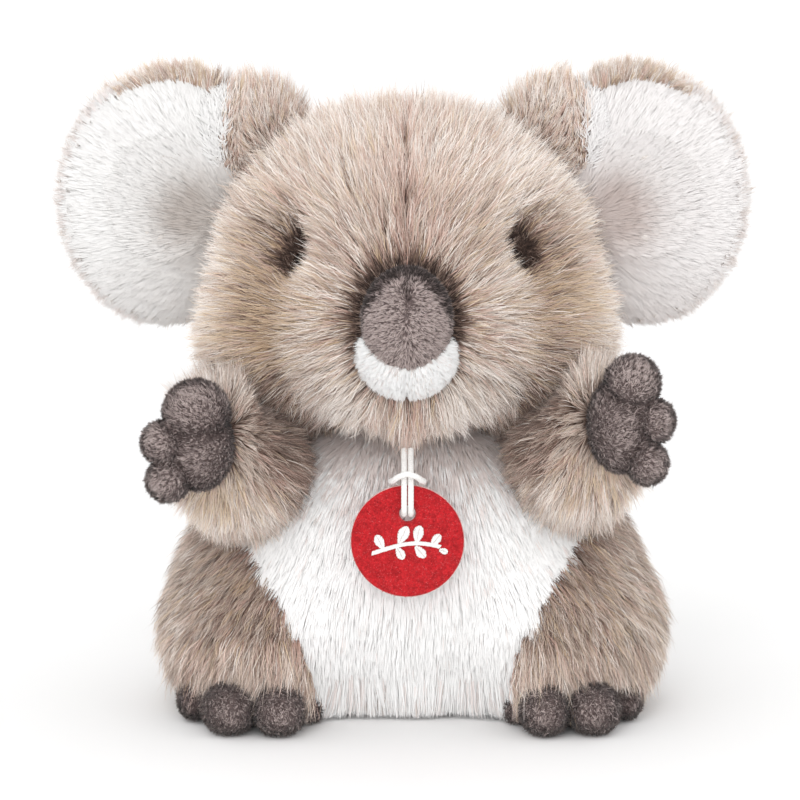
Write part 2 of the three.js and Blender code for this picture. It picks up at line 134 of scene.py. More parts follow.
def onto(f, p, steps=3):
    """Moves points along the gradient onto the surface f = 0."""
    p = p.copy()
    for _ in range(steps):
        g = np.empty_like(p)
        for i in range(3):
            o = np.zeros(3); o[i] = 0.2
            g[:, i] = (f(p + o) - f(p - o)) / 0.4
        d = f(p)
        p -= g * (d / np.maximum((g * g).sum(1), 1e-6))[:, None]
    return p


def ray_hit(f, c, d, far=160.0):
    """Distance along unit rays d from c to the outermost zero of f."""
    lo = np.full(len(d), 4.0)
    hi = np.full(len(d), 4.0)
    live = np.ones(len(d), bool)
    while live.any() and hi.max() < far:
        v = f(c + d * hi[:, None])
        live = v < 0
        lo = np.where(live, hi, lo)
        hi = np.where(live, hi + 4, hi)
    for _ in range(22):
        m = (lo + hi) / 2
        v = f(c + d * m[:, None]) < 0
        lo = np.where(v, m, lo)
        hi = np.where(v, hi, m)
    return (lo + hi) / 2


def sample_star(f, c, n, seed, keep=None, weight=None, nu=180, nv=110):
    """n points spread evenly over a star-shaped surface round c."""
    rng = np.random.default_rng(seed)
    c = np.asarray(c, float)
    u = np.linspace(0, 2 * np.pi, nu + 1)
    v = np.linspace(0.02, np.pi - 0.02, nv + 1)
    U, V = np.meshgrid(u, v, indexing="ij")
    d = np.stack([np.sin(V) * np.cos(U), np.sin(V) * np.sin(U), np.cos(V)], -1).reshape(-1, 3)
    P = c + d * ray_hit(f, c, d)[:, None]
    P = P.reshape(nu + 1, nv + 1, 3)
    a, b, e, g = P[:-1, :-1], P[1:, :-1], P[:-1, 1:], P[1:, 1:]
    area = (np.linalg.norm(np.cross(b - a, e - a), axis=-1) + np.linalg.norm(np.cross(b - g, e - g), axis=-1)) / 2
    mid = ((a + b + e + g) / 4).reshape(-1, 3)
    w = area.ravel()
    if weight is not None:
        w = w * weight(mid)
    out = []
    have = 0
    for _ in range(12):
        need = int((n - have) * 1.5) + 200
        cell = rng.choice(len(w), need, p=w / w.sum())
        iu, iv = np.unravel_index(cell, area.shape)
        su, sv = rng.random(need), rng.random(need)
        q = (a[iu, iv] * ((1 - su) * (1 - sv))[:, None] + b[iu, iv] * (su * (1 - sv))[:, None]
             + e[iu, iv] * ((1 - su) * sv)[:, None] + g[iu, iv] * (su * sv)[:, None])
        q = onto(f, q, 2)
        if keep is not None:
            q = q[keep(q)]
        out.append(q)
        have += len(q)
        if have >= n:
            break
    return np.concatenate(out)[:n]


def sample_lobes(lobes, n, seed, keep=None):
    """n points spread evenly over a union of ellipsoids, [(centre, radii)]."""
    rng = np.random.default_rng(seed)
    sizes = []
    for c, r in lobes:
        a, b, g = r
        sizes.append(4 * np.pi * (((a * b) ** 1.6 + (a * g) ** 1.6 + (b * g) ** 1.6) / 3) ** (1 / 1.6))
    sizes = np.array(sizes)
    out, have = [], 0
    for _ in range(10):
        need = (n - have) * 2 + 200
        k = rng.choice(len(lobes), need, p=sizes / sizes.sum())
        d = unit(rng.normal(size=(need, 3)))
        R = np.array([r for _, r in lobes])[k]
        C = np.array([c for c, _ in lobes])[k]
        # even over the surface, not over directions
        s = np.linalg.norm(d / R, axis=1)
        ok = rng.random(need) < s / (1 / R).max(1)
        q = C + d * R
        for j, (c, r) in enumerate(lobes):
            ok &= (j == k) | (ell(q, c, r) > 0.02)
        if keep is not None:
            ok &= keep(q)
        out.append(q[ok])
        have += ok.sum()
        if have >= n:
            break
    return np.concatenate(out)[:n]


def mesh_object(name, verts, faces, mat=None):
    me = bpy.data.meshes.new(name)
    me.from_pydata((np.asarray(verts, float) * MM).tolist(), [], [list(map(int, f)) for f in faces])
    me.update()
    ob = bpy.data.objects.new(name, me)
    scene.collection.objects.link(ob)
    if mat:
        me.materials.append(mat)
    return ob


# --------------------------------------------------------------------------
# finishes
# --------------------------------------------------------------------------
def new_material(name):
    m = bpy.data.materials.new(name)
    m.use_nodes = True
    nt = m.node_tree
    p = nt.nodes["Principled BSDF"]
    return m, nt, p


def ramp(nt, fac, stops, x=0, y=0, kind="LINEAR"):
    n = nt.nodes.new("ShaderNodeValToRGB")
    n.location = (x, y)
    n.color_ramp.interpolation = kind
    e = n.color_ramp.elements
    while len(e) < len(stops):
        e.new(0.5)
    for k, (at, col) in zip(e, stops):
        k.position = at
        k.color = col
    nt.links.new(fac, n.inputs["Fac"])
    return n


def noise_node(nt, scale, detail=4, rough=0.5, stretch=None):
    tc = nt.nodes.new("ShaderNodeTexCoord")
    n = nt.nodes.new("ShaderNodeTexNoise")
    n.inputs["Scale"].default_value = scale
    n.inputs["Detail"].default_value = detail
    n.inputs["Roughness"].default_value = rough
    if stretch:
        mp = nt.nodes.new("ShaderNodeMapping")
        mp.inputs["Scale"].default_value = stretch
        nt.links.new(tc.outputs["Object"], mp.inputs["Vector"])
        nt.links.new(mp.outputs["Vector"], n.inputs["Vector"])
    else:
        nt.links.new(tc.outputs["Object"], n.inputs["Vector"])
    return n


def bump_from(nt, p, height, strength, depth):
    b = nt.nodes.new("ShaderNodeBump")
    b.inputs["Strength"].default_value = strength
    b.inputs["Distance"].default_value = depth
    nt.links.new(height, b.inputs["Height"])
    nt.links.new(b.outputs["Normal"], p.inputs["Normal"])


def cloth_material(name, base, dark, scale=900.0, bump=0.25, rough=0.95, depth=0.0004, sheen=0.2):
    """Knitted backing, filling or felt: mottled colour and a fine fibrous bump."""
    m, nt, p = new_material(name)
    n1 = noise_node(nt, scale)
    r = ramp(nt, n1.outputs["Fac"], [(0.3, dark), (0.7, base)])
    nt.links.new(r.outputs["Color"], p.inputs["Base Color"])
    bump_from(nt, p, n1.outputs["Fac"], bump, depth)
    p.inputs["Roughness"].default_value = rough
    p.inputs["Specular IOR Level"].default_value = 0.2
    p.inputs["Sheen Weight"].default_value = sheen
    return m


def S(*stops):
    return [(at, srgb(*c)) for at, c in stops]

# --------------------------------------------------------------------------
# the tag's loop of cord: both ends are sewn into the chest under the chin,
# the loop goes through the tag's hole from the front, round its far side
# and back up behind the tag, as the frame's cord does
# --------------------------------------------------------------------------
CORD_D = 2.0
TAG = dict(x=0.5, y=-67.0, z=71.2, r=20.3, t=2.4, holeZ=81.2, holeR=2.8)
CORD_POINTS = [(-1.2, -57.5, 102.6), (-1.2, -61.5, 99.8), (-1.2, -66.2, 97.4), (-1.2, -69.6, 94.0), (-1.2, -70.2, 89.5),
               (-1.2, -70.0, 85.0), (-1.2, -68.9, 82.0), (-1.2, -67.0, 80.9), (-1.2, -65.1, 82.0), (-1.7, -64.3, 84.6),
               (-3.0, -64.2, 88.0), (-4.7, -64.4, 90.8), (-5.7, -66.3, 92.5), (-5.1, -69.8, 93.4), (-3.1, -72.5, 95.2),
               (0.0, -73.3, 96.3)]


def centripetal(points, step):
    """Points along a centripetal Catmull-Rom curve through the given ones."""
    p = np.array(points, float)
    p = np.vstack([2 * p[0] - p[1], p, 2 * p[-1] - p[-2]])
    out = []
    for i in range(len(p) - 3):
        a, b, c, d = p[i:i + 4]
        t0 = 0.0
        t1 = t0 + np.linalg.norm(b - a) ** 0.5
        t2 = t1 + np.linalg.norm(c - b) ** 0.5
        t3 = t2 + np.linalg.norm(d - c) ** 0.5
        n = max(2, int(round(np.linalg.norm(c - b) / step)))
        for t in np.linspace(t1, t2, n, endpoint=False):
            A1 = (t1 - t) / (t1 - t0) * a + (t - t0) / (t1 - t0) * b
            A2 = (t2 - t) / (t2 - t1) * b + (t - t1) / (t2 - t1) * c
            A3 = (t3 - t) / (t3 - t2) * c + (t - t2) / (t3 - t2) * d
            B1 = (t2 - t) / (t2 - t0) * A1 + (t - t0) / (t2 - t0) * A2
            B2 = (t3 - t) / (t3 - t1) * A2 + (t - t1) / (t3 - t1) * A3
            out.append((t2 - t) / (t2 - t1) * B1 + (t - t1) / (t2 - t1) * B2)
    out.append(p[-2])
    return np.array(out)


def frames_along(C, first=(1.0, 0.0, 0.0)):
    """Two unit vectors across the line at each point, with no twist."""
    D = np.gradient(C, axis=0)
    D = D / np.linalg.norm(D, axis=1, keepdims=True)
    u = np.array(first) - D[0] * D[0].dot(first)
    u /= np.linalg.norm(u)
    U = [u]
    for i in range(1, len(C)):
        u = U[-1] - D[i] * U[-1].dot(D[i])
        U.append(u / np.linalg.norm(u))
    U = np.array(U)
    return D, U, np.cross(D, U)


def make_cord():
    one = [(TAG["x"] + x, y, z) for x, y, z in CORD_POINTS]
    two = [(TAG["x"] - x, y, z) for x, y, z in reversed(CORD_POINTS[:-1])]
    C = centripetal(one + two, 0.25)
    D, U, W = frames_along(C)
    s = np.concatenate([[0], np.cumsum(np.linalg.norm(np.diff(C, axis=0), axis=1))])
    around, strands, lay = 24, 4, 5.2
    V = []
    for i in range(len(C)):
        a = np.arange(around) * 2 * np.pi / around
        twist = a * strands - s[i] * 2 * np.pi * strands / lay
        # four plies laid side by side: a bulge on each, a groove between
        r = CORD_D / 2 * (0.93 + 0.14 * np.abs(np.cos(twist / 2)) ** 0.7)
        V.append(C[i] + (U[i][None] * np.cos(a)[:, None] + W[i][None] * np.sin(a)[:, None]) * r[:, None])
    n = len(C)
    V = np.concatenate(V + [C[:1], C[-1:]])
    F = []
    for i in range(n - 1):
        for k in range(around):
            j = (k + 1) % around
            F.append((i * around + k, i * around + j, (i + 1) * around + j, (i + 1) * around + k))
    for k in range(around):
        j = (k + 1) % around
        F.append((j, k, n * around))
        F.append(((n - 1) * around + k, (n - 1) * around + j, n * around + 1))
    ob = mesh_object("tag_loop", V, F, CORD)
    ob.data.polygons.foreach_set("use_smooth", np.ones(len(F), bool))
    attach(ob, "tag")
    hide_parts("tag_cord")
    return ob


CORD = cloth_material("cord_white", srgb(246, 245, 243), srgb(214, 212, 209), scale=2600, bump=0.35, depth=0.0001, rough=0.8)
make_cord()

# --------------------------------------------------------------------------
# finishes of the pile and of everything under it
# --------------------------------------------------------------------------
def pile_material(name, bins, rough=0.75, sheen=0.3, slot=None):
    """Colour of a strand from its own map: v runs from root to tip, and u picks one of len(bins) lots of colour, some
    dyed and some painted shade, and, inside it, how light the strand is. Each bin is (stops of the darkest strand,
    stops of the lightest strand)."""
    m, nt, p = new_material(name)
    uv = nt.nodes.new("ShaderNodeUVMap"); uv.uv_map = "OFBake"
    sep = nt.nodes.new("ShaderNodeSeparateXYZ")
    nt.links.new(uv.outputs["UV"], sep.inputs[0])
    scaled = nt.nodes.new("ShaderNodeMath"); scaled.operation = "MULTIPLY"
    scaled.inputs[1].default_value = len(bins)
    nt.links.new(sep.outputs[0], scaled.inputs[0])
    tone = nt.nodes.new("ShaderNodeMath"); tone.operation = "FRACT"
    nt.links.new(scaled.outputs[0], tone.inputs[0])
    last = None
    for i, (dark, light) in enumerate(bins):
        a = ramp(nt, sep.outputs[1], dark, -600, -300 * i)
        b = ramp(nt, sep.outputs[1], light, -600, -300 * i - 150)
        mx = nt.nodes.new("ShaderNodeMix"); mx.data_type = "RGBA"
        nt.links.new(tone.outputs[0], mx.inputs["Factor"])
        nt.links.new(a.outputs["Color"], mx.inputs["A"])
        nt.links.new(b.outputs["Color"], mx.inputs["B"])
        if last is None:
            last = mx.outputs["Result"]
        else:
            gt = nt.nodes.new("ShaderNodeMath"); gt.operation = "GREATER_THAN"
            gt.inputs[1].default_value = i
            nt.links.new(scaled.outputs[0], gt.inputs[0])
            pick = nt.nodes.new("ShaderNodeMix"); pick.data_type = "RGBA"
            nt.links.new(gt.outputs[0], pick.inputs["Factor"])
            nt.links.new(last, pick.inputs["A"])
            nt.links.new(mx.outputs["Result"], pick.inputs["B"])
            last = pick.outputs["Result"]
    nt.links.new(last, p.inputs["Base Color"])
    p.inputs["Roughness"].default_value = rough
    p.inputs["Specular IOR Level"].default_value = 0.2
    p.inputs["Sheen Weight"].default_value = sheen
    p.inputs["Sheen Roughness"].default_value = 0.5
    m["bins"] = len(bins)
    m["slot"] = slot or name
    return m


def lot(dark, light):
    return (S((0.0, dark[0]), (0.35, dark[1]), (1.0, dark[2])), S((0.0, light[0]), (0.35, light[1]), (1.0, light[2])))


TAUPE = pile_material("plush_taupe", [
    lot([(84, 62, 53), (150, 126, 112), (198, 179, 165)], [(118, 96, 84), (208, 188, 173), (241, 228, 217)]),       # neutral
    lot([(94, 64, 56), (158, 122, 110), (202, 172, 159)], [(130, 98, 88), (216, 186, 172), (242, 222, 211)]),       # pinkish
    lot([(98, 74, 54), (168, 138, 108), (208, 183, 155)], [(140, 114, 90), (218, 194, 165), (242, 228, 206)]),      # golden
    lot([(40, 27, 23), (84, 62, 53), (136, 112, 100)], [(68, 49, 42), (130, 106, 95), (182, 160, 146)]),            # guard hair, and painted shade in creases, hollows and under the cheeks
    lot([(152, 132, 119), (217, 203, 192), (238, 229, 221)], [(184, 168, 157), (240, 231, 223), (253, 248, 244)]),  # cream
    lot([(32, 21, 18), (78, 58, 50), (208, 190, 176)], [(52, 38, 32), (146, 124, 111), (244, 232, 221)]),           # ticked: dark root, pale tip; also the painted shade round the nose
    lot([(10, 6, 5), (24, 15, 12), (50, 35, 29)], [(26, 16, 13), (54, 38, 31), (98, 74, 62)]),                      # nearly black: painted shade in the eye pockets and at the nose's edge
])
WHITE = pile_material("plush_white", [
    lot([(232, 231, 230), (236, 235, 234), (240, 239, 238)], [(242, 241, 240), (246, 246, 245), (250, 250, 250)]),
    lot([(206, 193, 188), (213, 201, 196), (220, 209, 205)], [(232, 224, 221), (240, 233, 231), (246, 242, 240)]),  # pinkish white; its dark strands paint the shade and pink bounce light under the chin
    lot([(140, 128, 122), (172, 160, 153), (200, 189, 182)], [(176, 164, 157), (212, 202, 196), (234, 227, 222)]),
    lot([(150, 138, 130), (162, 151, 143), (174, 164, 157)], [(244, 244, 243), (245, 245, 244), (246, 246, 246)]),  # painted shade, from grey-brown in one ear's hollow to white at its rim
    lot([(168, 150, 143), (178, 161, 154), (188, 173, 167)], [(243, 242, 241), (245, 244, 244), (246, 246, 246)]),  # and the same painted shade in the other
], rough=0.75, sheen=0.1)
SHORT = pile_material("plush_short_grey", [
    lot([(52, 42, 42), (92, 79, 77), (128, 113, 111)], [(84, 71, 70), (142, 127, 124), (184, 170, 166)]),
    lot([(70, 58, 57), (128, 111, 108), (170, 153, 149)], [(104, 89, 87), (176, 160, 156), (214, 201, 196)]),
    # the two darkest lots paint the shade in the creases of paws and feet, by the sleeves and along the nose's outline
    lot([(36, 29, 29), (66, 55, 54), (98, 85, 83)], [(60, 50, 50), (108, 94, 92), (150, 135, 132)]),
    lot([(14, 10, 10), (28, 21, 20), (46, 37, 35)], [(30, 23, 22), (56, 47, 45), (88, 77, 74)]),
], rough=0.85, sheen=0.16)
FELT_FIBRE = pile_material("felt_red_fibre", [
    lot([(104, 8, 14), (132, 13, 21), (152, 20, 28)], [(158, 20, 28), (186, 31, 39), (204, 52, 58)]),
    lot([(132, 13, 21), (168, 25, 33), (186, 42, 49)], [(186, 44, 51), (208, 80, 85), (226, 130, 131)]),
], rough=0.9, slot="felt_red")

BACK_TAUPE = cloth_material("backing_taupe", srgb(150, 128, 115), srgb(108, 88, 78))
BACK_WHITE = cloth_material("backing_white", srgb(250, 249, 248), srgb(238, 236, 234))
BACK_EAR = cloth_material("backing_ear", srgb(226, 220, 215), srgb(208, 201, 195))
BACK_DARK = cloth_material("backing_dark", srgb(104, 90, 88), srgb(66, 55, 54), scale=700)
FILLING = cloth_material("filling_fibre", srgb(240, 240, 238), srgb(214, 214, 210), scale=300)
PELLETS = cloth_material("pellet_filling", srgb(214, 208, 196), srgb(176, 170, 158), scale=500, bump=0.6, depth=0.001)
WASHER = cloth_material("washer_plastic", srgb(236, 236, 232), srgb(222, 222, 217), scale=60, bump=0.05, rough=0.4, sheen=0)
THREAD = cloth_material("thread_white", srgb(250, 249, 247), srgb(226, 223, 220), scale=1800, bump=0.2, depth=0.0001, rough=0.6, sheen=0.1)
FELT_EDGE = cloth_material("felt_cut_edge", srgb(232, 214, 208), srgb(196, 120, 118), scale=1400, bump=0.5, depth=0.0003)


def felt_material():
    m, nt, p = new_material("felt_red")
    a = noise_node(nt, 1500, 6, 0.7)
    b = noise_node(nt, 420, 3, 0.6)
    r = ramp(nt, a.outputs["Fac"], S((0.30, (118, 10, 18)), (0.45, (176, 24, 32)), (0.60, (196, 33, 40)), (0.75, (214, 70, 74))))
    dark = ramp(nt, b.outputs["Fac"], [(0.35, (0.72, 0.72, 0.72, 1)), (0.6, (1, 1, 1, 1))])
    mx = nt.nodes.new("ShaderNodeMix"); mx.data_type = "RGBA"; mx.blend_type = "MULTIPLY"
    mx.inputs["Factor"].default_value = 1
    nt.links.new(r.outputs["Color"], mx.inputs["A"])
    nt.links.new(dark.outputs["Color"], mx.inputs["B"])
    nt.links.new(mx.outputs["Result"], p.inputs["Base Color"])
    bump_from(nt, p, a.outputs["Fac"], 0.7, 0.0004)
    p.inputs["Roughness"].default_value = 0.95
    p.inputs["Specular IOR Level"].default_value = 0.15
    p.inputs["Sheen Weight"].default_value = 0.3
    return m


def eye_material():
    m, nt, p = new_material("eye_gloss")
    n = noise_node(nt, 240, 2)
    r = ramp(nt, n.outputs["Fac"], S((0.35, (12, 9, 8)), (0.65, (26, 19, 16))))
    nt.links.new(r.outputs["Color"], p.inputs["Base Color"])
    p.inputs["Roughness"].default_value = 0.22
    p.inputs["Specular IOR Level"].default_value = 0.12
    p.inputs["Coat Weight"].default_value = 0.08
    p.inputs["Coat Roughness"].default_value = 0.05
    return m


FELT = felt_material()
EYE = eye_material()

# --------------------------------------------------------------------------
# strands
# --------------------------------------------------------------------------
def n_density(P):
    """Strands per square mm, from the spread of near neighbours."""
    k = min(len(P), 400)
    kd = kdtree.KDTree(len(P))
    for i, p in enumerate(P):
        kd.insert(p, i)
    kd.balance()
    d = [kd.find_n(P[int(j)], 9)[-1][2] for j in np.linspace(0, len(P) - 1, k)]
    return 8 / (math.pi * np.median(d) ** 2)


SOFT = 0.6                       # how far a strand is lit like the surface under it


def fur(name, P, N, T, length, body, mat, bin_of, tone, width=0.25, lean=(35, 68), clump=0.5, clump_mm=1.8,
        wander=12, frizz=0.16, sag=0.12, segs=3, floor=None, seed=1, sink=0.3, soft=None, locks=None, mottle=0.13,
        calm=0.0, lit=None):
    """Real strands of pile: tapered ribbons that start at P and bend from the
    normal N towards the comb direction T. Tufts share one bend."""
    rng = np.random.default_rng(seed)
    n = len(P)
    bin_of = np.asarray(bin_of)
    T = unit(T - N * (T * N).sum(1, keepdims=True))
    B = np.cross(N, T)
    # tufts: each strand follows the nearest of a sparse set of leaders
    tree_n = max(8, int(n * min(1.0, 1.0 / max(1.0, n_density(P) * clump_mm ** 2))))
    lead = rng.choice(n, tree_n, replace=False)
    kd = kdtree.KDTree(tree_n)
    for i, j in enumerate(lead):
        kd.insert(P[j], i)
    kd.balance()
    mine = np.fromiter((kd.find(p)[1] for p in P), int, n)
    L0 = lead[mine]
    bin_of = np.where(rng.random(n) < 0.45, bin_of[L0], bin_of)
    tone = np.clip(tone + mottle * rng.normal(size=tree_n)[mine], 0, 1)
    ang = np.radians(wander) * (rng.normal(size=tree_n)[mine] * 0.8 + rng.normal(size=n) * 0.45 + 0.9 * noise3(P, 9.0, seed + 3))
    Tn = T * np.cos(ang)[:, None] + B * np.sin(ang)[:, None]
    lift = (rng.normal(size=tree_n)[mine] * 6 + rng.normal(size=n) * 5.5) * (1 - calm)
    a0 = np.radians(np.clip(lean[0] + lift, 3, 86))
    a1 = np.radians(np.clip(lean[1] + lift * 0.8, 6, 104))
    L = length * (1 + 0.12 * rng.normal(size=tree_n)[mine] + 0.12 * rng.normal(size=n))
    L = np.clip(L, 0.45 * length, 1.35 * length)
    pts = np.empty((n, segs + 1, 3))
    pts[:, 0] = P - N * sink
    cur = pts[:, 0].copy()
    for k in range(segs):
        s = (k + 0.5) / segs
        a = a0 + (a1 - a0) * s
        d = N * np.cos(a)[:, None] + Tn * np.sin(a)[:, None]
        d[:, 2] -= sag * s
        d = unit(d)
        cur = cur + d * (L / segs)[:, None]
        pts[:, k + 1] = cur
    # draw each strand to its leader's line towards the tip
    guide = pts[L0]
    off = P - P[L0]
    s = np.linspace(0, 1, segs + 1)[None, :, None]
    pull = np.asarray(clump, float).reshape(-1, 1, 1) * s ** 1.3
    target = guide + off[:, None, :] * (1 - 0.85 * s)
    target = target + (L / L[L0] - 1)[:, None, None] * (guide - guide[:, :1]) * 0.9
    pts = pts * (1 - pull) + target * pull
    if locks is not None:
        # locks: wider sheaves that close towards their tips and gape between
        gap, grip = locks
        few = rng.choice(n, max(8, int(n / max(1.0, n_density(P) * gap ** 2))), replace=False)
        kd = kdtree.KDTree(len(few))
        for i, j in enumerate(few):
            kd.insert(P[j], i)
        kd.balance()
        near = np.fromiter((kd.find(p)[1] for p in P), int, n)
        F0 = few[near]
        guide = pts[F0]
        off = P - P[F0]
        pull = np.asarray(grip, float).reshape(-1, 1, 1) * s ** 1.4
        target = guide + off[:, None, :] * (1 - 0.7 * s) + (L / L[F0] - 1)[:, None, None] * (guide - guide[:, :1]) * 0.9
        pts = pts * (1 - pull) + target * pull
        away = np.clip(np.linalg.norm(off, axis=1) / (0.62 * gap), 0, 1.3)
        tone = np.clip(tone + np.asarray(grip, float) * (0.16 - 0.36 * away ** 2) + 0.10 * np.asarray(grip, float) * rng.normal(size=len(few))[near], 0, 1)
    pts = pts + rng.normal(size=(n, segs + 1, 3)) * (frizz * (L / segs))[:, None, None] * np.linspace(0, 1, segs + 1)[None, :, None]
    pts[:, 0] = P - N * sink
    if floor is not None:
        pts[:, :, 2] = np.maximum(pts[:, :, 2], floor + 0.25 * rng.random(n)[:, None])
    # ribbons
    D = np.empty_like(pts)
    D[:, 1:-1] = pts[:, 2:] - pts[:, :-2]
    D[:, 0] = pts[:, 1] - pts[:, 0]
    D[:, -1] = pts[:, -1] - pts[:, -2]
    D = unit(D)
    Nf = N if lit is None else lit
    side = unit(np.cross(D, Nf[:, None, :] + 1e-4))
    up = np.cross(side, D)
    roll = rng.normal(size=n) * 0.5 * (1 - calm)
    cr, sr = np.cos(roll)[:, None, None], np.sin(roll)[:, None, None]
    W = side * cr + up * sr
    face = up * cr - side * sr                      # the ribbon's own outward side
    soft = SOFT if soft is None else soft
    NV = unit(Nf[:, None, :] * soft + face * (1 - soft))
    taper = np.array([0.8, 1.0, 0.75, 0.45, 0.2][: segs])
    wid = (width * (1 + 0.25 * rng.normal(size=n)).clip(0.5, 1.6))[:, None] * taper[None, :] / 2
    nv = 2 * segs + 1
    V = np.empty((n, nv, 3))
    V[:, 0:2 * segs:2] = pts[:, :segs] + W[:, :segs] * wid[:, :, None]
    V[:, 1:2 * segs:2] = pts[:, :segs] - W[:, :segs] * wid[:, :, None]
    V[:, -1] = pts[:, -1]
    CN = np.empty((n, nv, 3))
    CN[:, 0:2 * segs:2] = NV[:, :segs]
    CN[:, 1:2 * segs:2] = NV[:, :segs]
    CN[:, -1] = NV[:, -1]
    loops = []
    for k in range(segs - 1):
        loops += [2 * k, 2 * k + 1, 2 * k + 3, 2 * k + 2]
    loops += [2 * segs - 2, 2 * segs - 1, 2 * segs]
    loops = np.array(loops)
    base = (np.arange(n) * nv)[:, None]
    # wound so that the outward side is the front
    a, b, c = V[:, 0], V[:, 1], V[:, 2 if segs > 1 else 2]
    g = np.cross(b - a, V[:, 3] - a) if segs > 1 else np.cross(b - a, V[:, 2] - a)
    flip = (g * NV[:, 0]).sum(1) < 0
    if flip.mean() > 0.5:
        V[:, 0:2 * segs:2], V[:, 1:2 * segs:2] = V[:, 1:2 * segs:2].copy(), V[:, 0:2 * segs:2].copy()
    vi = (base + loops[None, :]).astype(np.int32).ravel()
    per = len(loops)
    starts = np.concatenate([np.arange(segs - 1) * 4, [4 * (segs - 1)]])
    ls = ((np.arange(n) * per)[:, None] + starts[None, :]).astype(np.int32).ravel()
    me = bpy.data.meshes.new(name)
    me.vertices.add(n * nv)
    me.vertices.foreach_set("co", (V * MM).astype(np.float32).ravel())
    me.loops.add(n * per)
    me.loops.foreach_set("vertex_index", vi)
    me.polygons.add(n * segs)
    me.polygons.foreach_set("loop_start", ls)
    bins = mat["bins"]
    cu = (bin_of + 0.10 + 0.80 * np.clip(tone, 0, 1)) / bins
    du = 0.035 / bins
    vv = np.linspace(0.03, 0.97, segs + 1)
    U = np.empty((n, nv)); Vt = np.empty((n, nv))
    U[:, 0:2 * segs:2] = (cu - du)[:, None]
    U[:, 1:2 * segs:2] = (cu + du)[:, None]
    U[:, -1] = cu
    Vt[:, 0:2 * segs:2] = vv[None, :segs]
    Vt[:, 1:2 * segs:2] = vv[None, :segs]
    Vt[:, -1] = vv[-1]
    layer = me.uv_layers.new(name="OFBake", do_init=False)
    uvs = np.stack([U.ravel()[vi], Vt.ravel()[vi]], 1).astype(np.float32)
    layer.uv.foreach_set("vector", uvs.ravel())
    me.update(calc_edges=True)
    me.polygons.foreach_set("use_smooth", np.ones(n * segs, bool))
    cn = me.attributes.new("custom_normal", "FLOAT_VECTOR", "POINT")
    cn.data.foreach_set("vector", CN.astype(np.float32).ravel())
    me.materials.append(mat)
    ob = bpy.data.objects.new(name, me)
    scene.collection.objects.link(ob)
    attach(ob, body)
    return ob

# --------------------------------------------------------------------------
# shapes: the same surfaces as the frame's covers
# --------------------------------------------------------------------------
TORSO = [((2, 3, 44), (83, 54, 56)), ((1, 0, 76), (62, 44, 34)), ((-50, -12, 28), (37, 42, 34)), ((54, -12, 28), (38, 42, 34))]
TORSO_C = (1, -2, 46)
torso_f = blend_field(TORSO, 12)
HEAD = [((0, 0, 166), (65, 50, 51)), ((-36, -11, 139), (35, 38, 33)), ((36, -11, 139), (35, 38, 33)), ((0, -40, 144), (36, 30, 31))]
HEAD_C = (0, -8, 152)
head_base = blend_field(HEAD, 12)
NECK = (0, -2, 110)
EYES = {"right": ((-39.5, -44.5, 169), (-0.50, -0.86, 0.06)), "left": ((40.5, -44.0, 171), (0.50, -0.86, 0.06))}
# the pockets that the eyes lie in run down and outwards, [(x, z) top, (x, z) bottom]
SLITS = {"right": ((-36.0, 174.0), (-39.5, 166.6)), "left": ((37.4, 175.2), (40.8, 168.0))}


def head_f(p):
    d = head_base(p)
    for c, _ in EYES.values():
        q = np.linalg.norm(p - np.array(c), axis=1)
        d = d + 5 * np.exp(-(q * q) / 121.0)
    return d


def slit(p):
    """Distance to the nearer eye pocket seen from the front, and how far outside it."""
    best = np.full(len(p), 1e9)
    outer = np.zeros(len(p))
    for side, (a, b) in SLITS.items():
        a, b = np.array(a), np.array(b)
        q = p[:, [0, 2]] - a
        t = np.clip((q @ (b - a)) / ((b - a) @ (b - a)), 0, 1)
        v = q - t[:, None] * (b - a)
        d = np.linalg.norm(v, axis=1) + 100 * (p[:, 1] > -20)
        out = v[:, 0] * (-1 if side == "right" else 1)
        near = d < best
        best = np.where(near, d, best)
        outer = np.where(near, out, outer)
    return best, outer


NOSE = ((0.3, -69.5, 150.6), (15.4, 13.2, 18.4))
MOUTH = ((0.3, -64.8, 138), (16.8, 11.8, 14.8))
EARS = {
    "right": dict(c=(-88, 7, 187.5), r=(36.5, 9.5, 43.5), turn=8, s=-1, root=((-58.5, 9, 208.5), (21.5, 9, 19.5), 24)),
    "left": dict(c=(86.5, 7, 188), r=(36, 9.5, 43.5), turn=-8, s=1, root=((57.5, 9, 209), (21.5, 9, 19.5), -24)),
}
DISH_R, DISH_SINK = 70, 4.2
ARMS = {
    "right": dict(s=(-58, -27, 89), m=(-61.5, -43, 98), w=(-64, -57, 107), r=(17.2, 17.2, 12.5)),
    "left": dict(s=(60, -27, 93), m=(63, -43, 102), w=(65.5, -57, 112.5), r=(17.2, 17.0, 12.5)),
}
PAWS = {
    "right": [((-72.8, -73, 106.4), (11.6, 9.5, 15.6)), ((-73.6, -75.5, 118.6), (11.4, 8.8, 11.2)), ((-85.6, -77, 108), (7.0, 7.6, 7.4)),
              ((-83.6, -77, 94.9), (7.5, 7.8, 7.5))],
    "left": [((76, -73, 114.2), (11.6, 9.5, 17.2)), ((79.3, -75.5, 128.8), (9.4, 8.6, 9.8)), ((87.4, -77, 115.8), (6.5, 7.6, 7.4)),
             ((84.7, -77, 100.8), (6.9, 7.6, 7.4))],
}
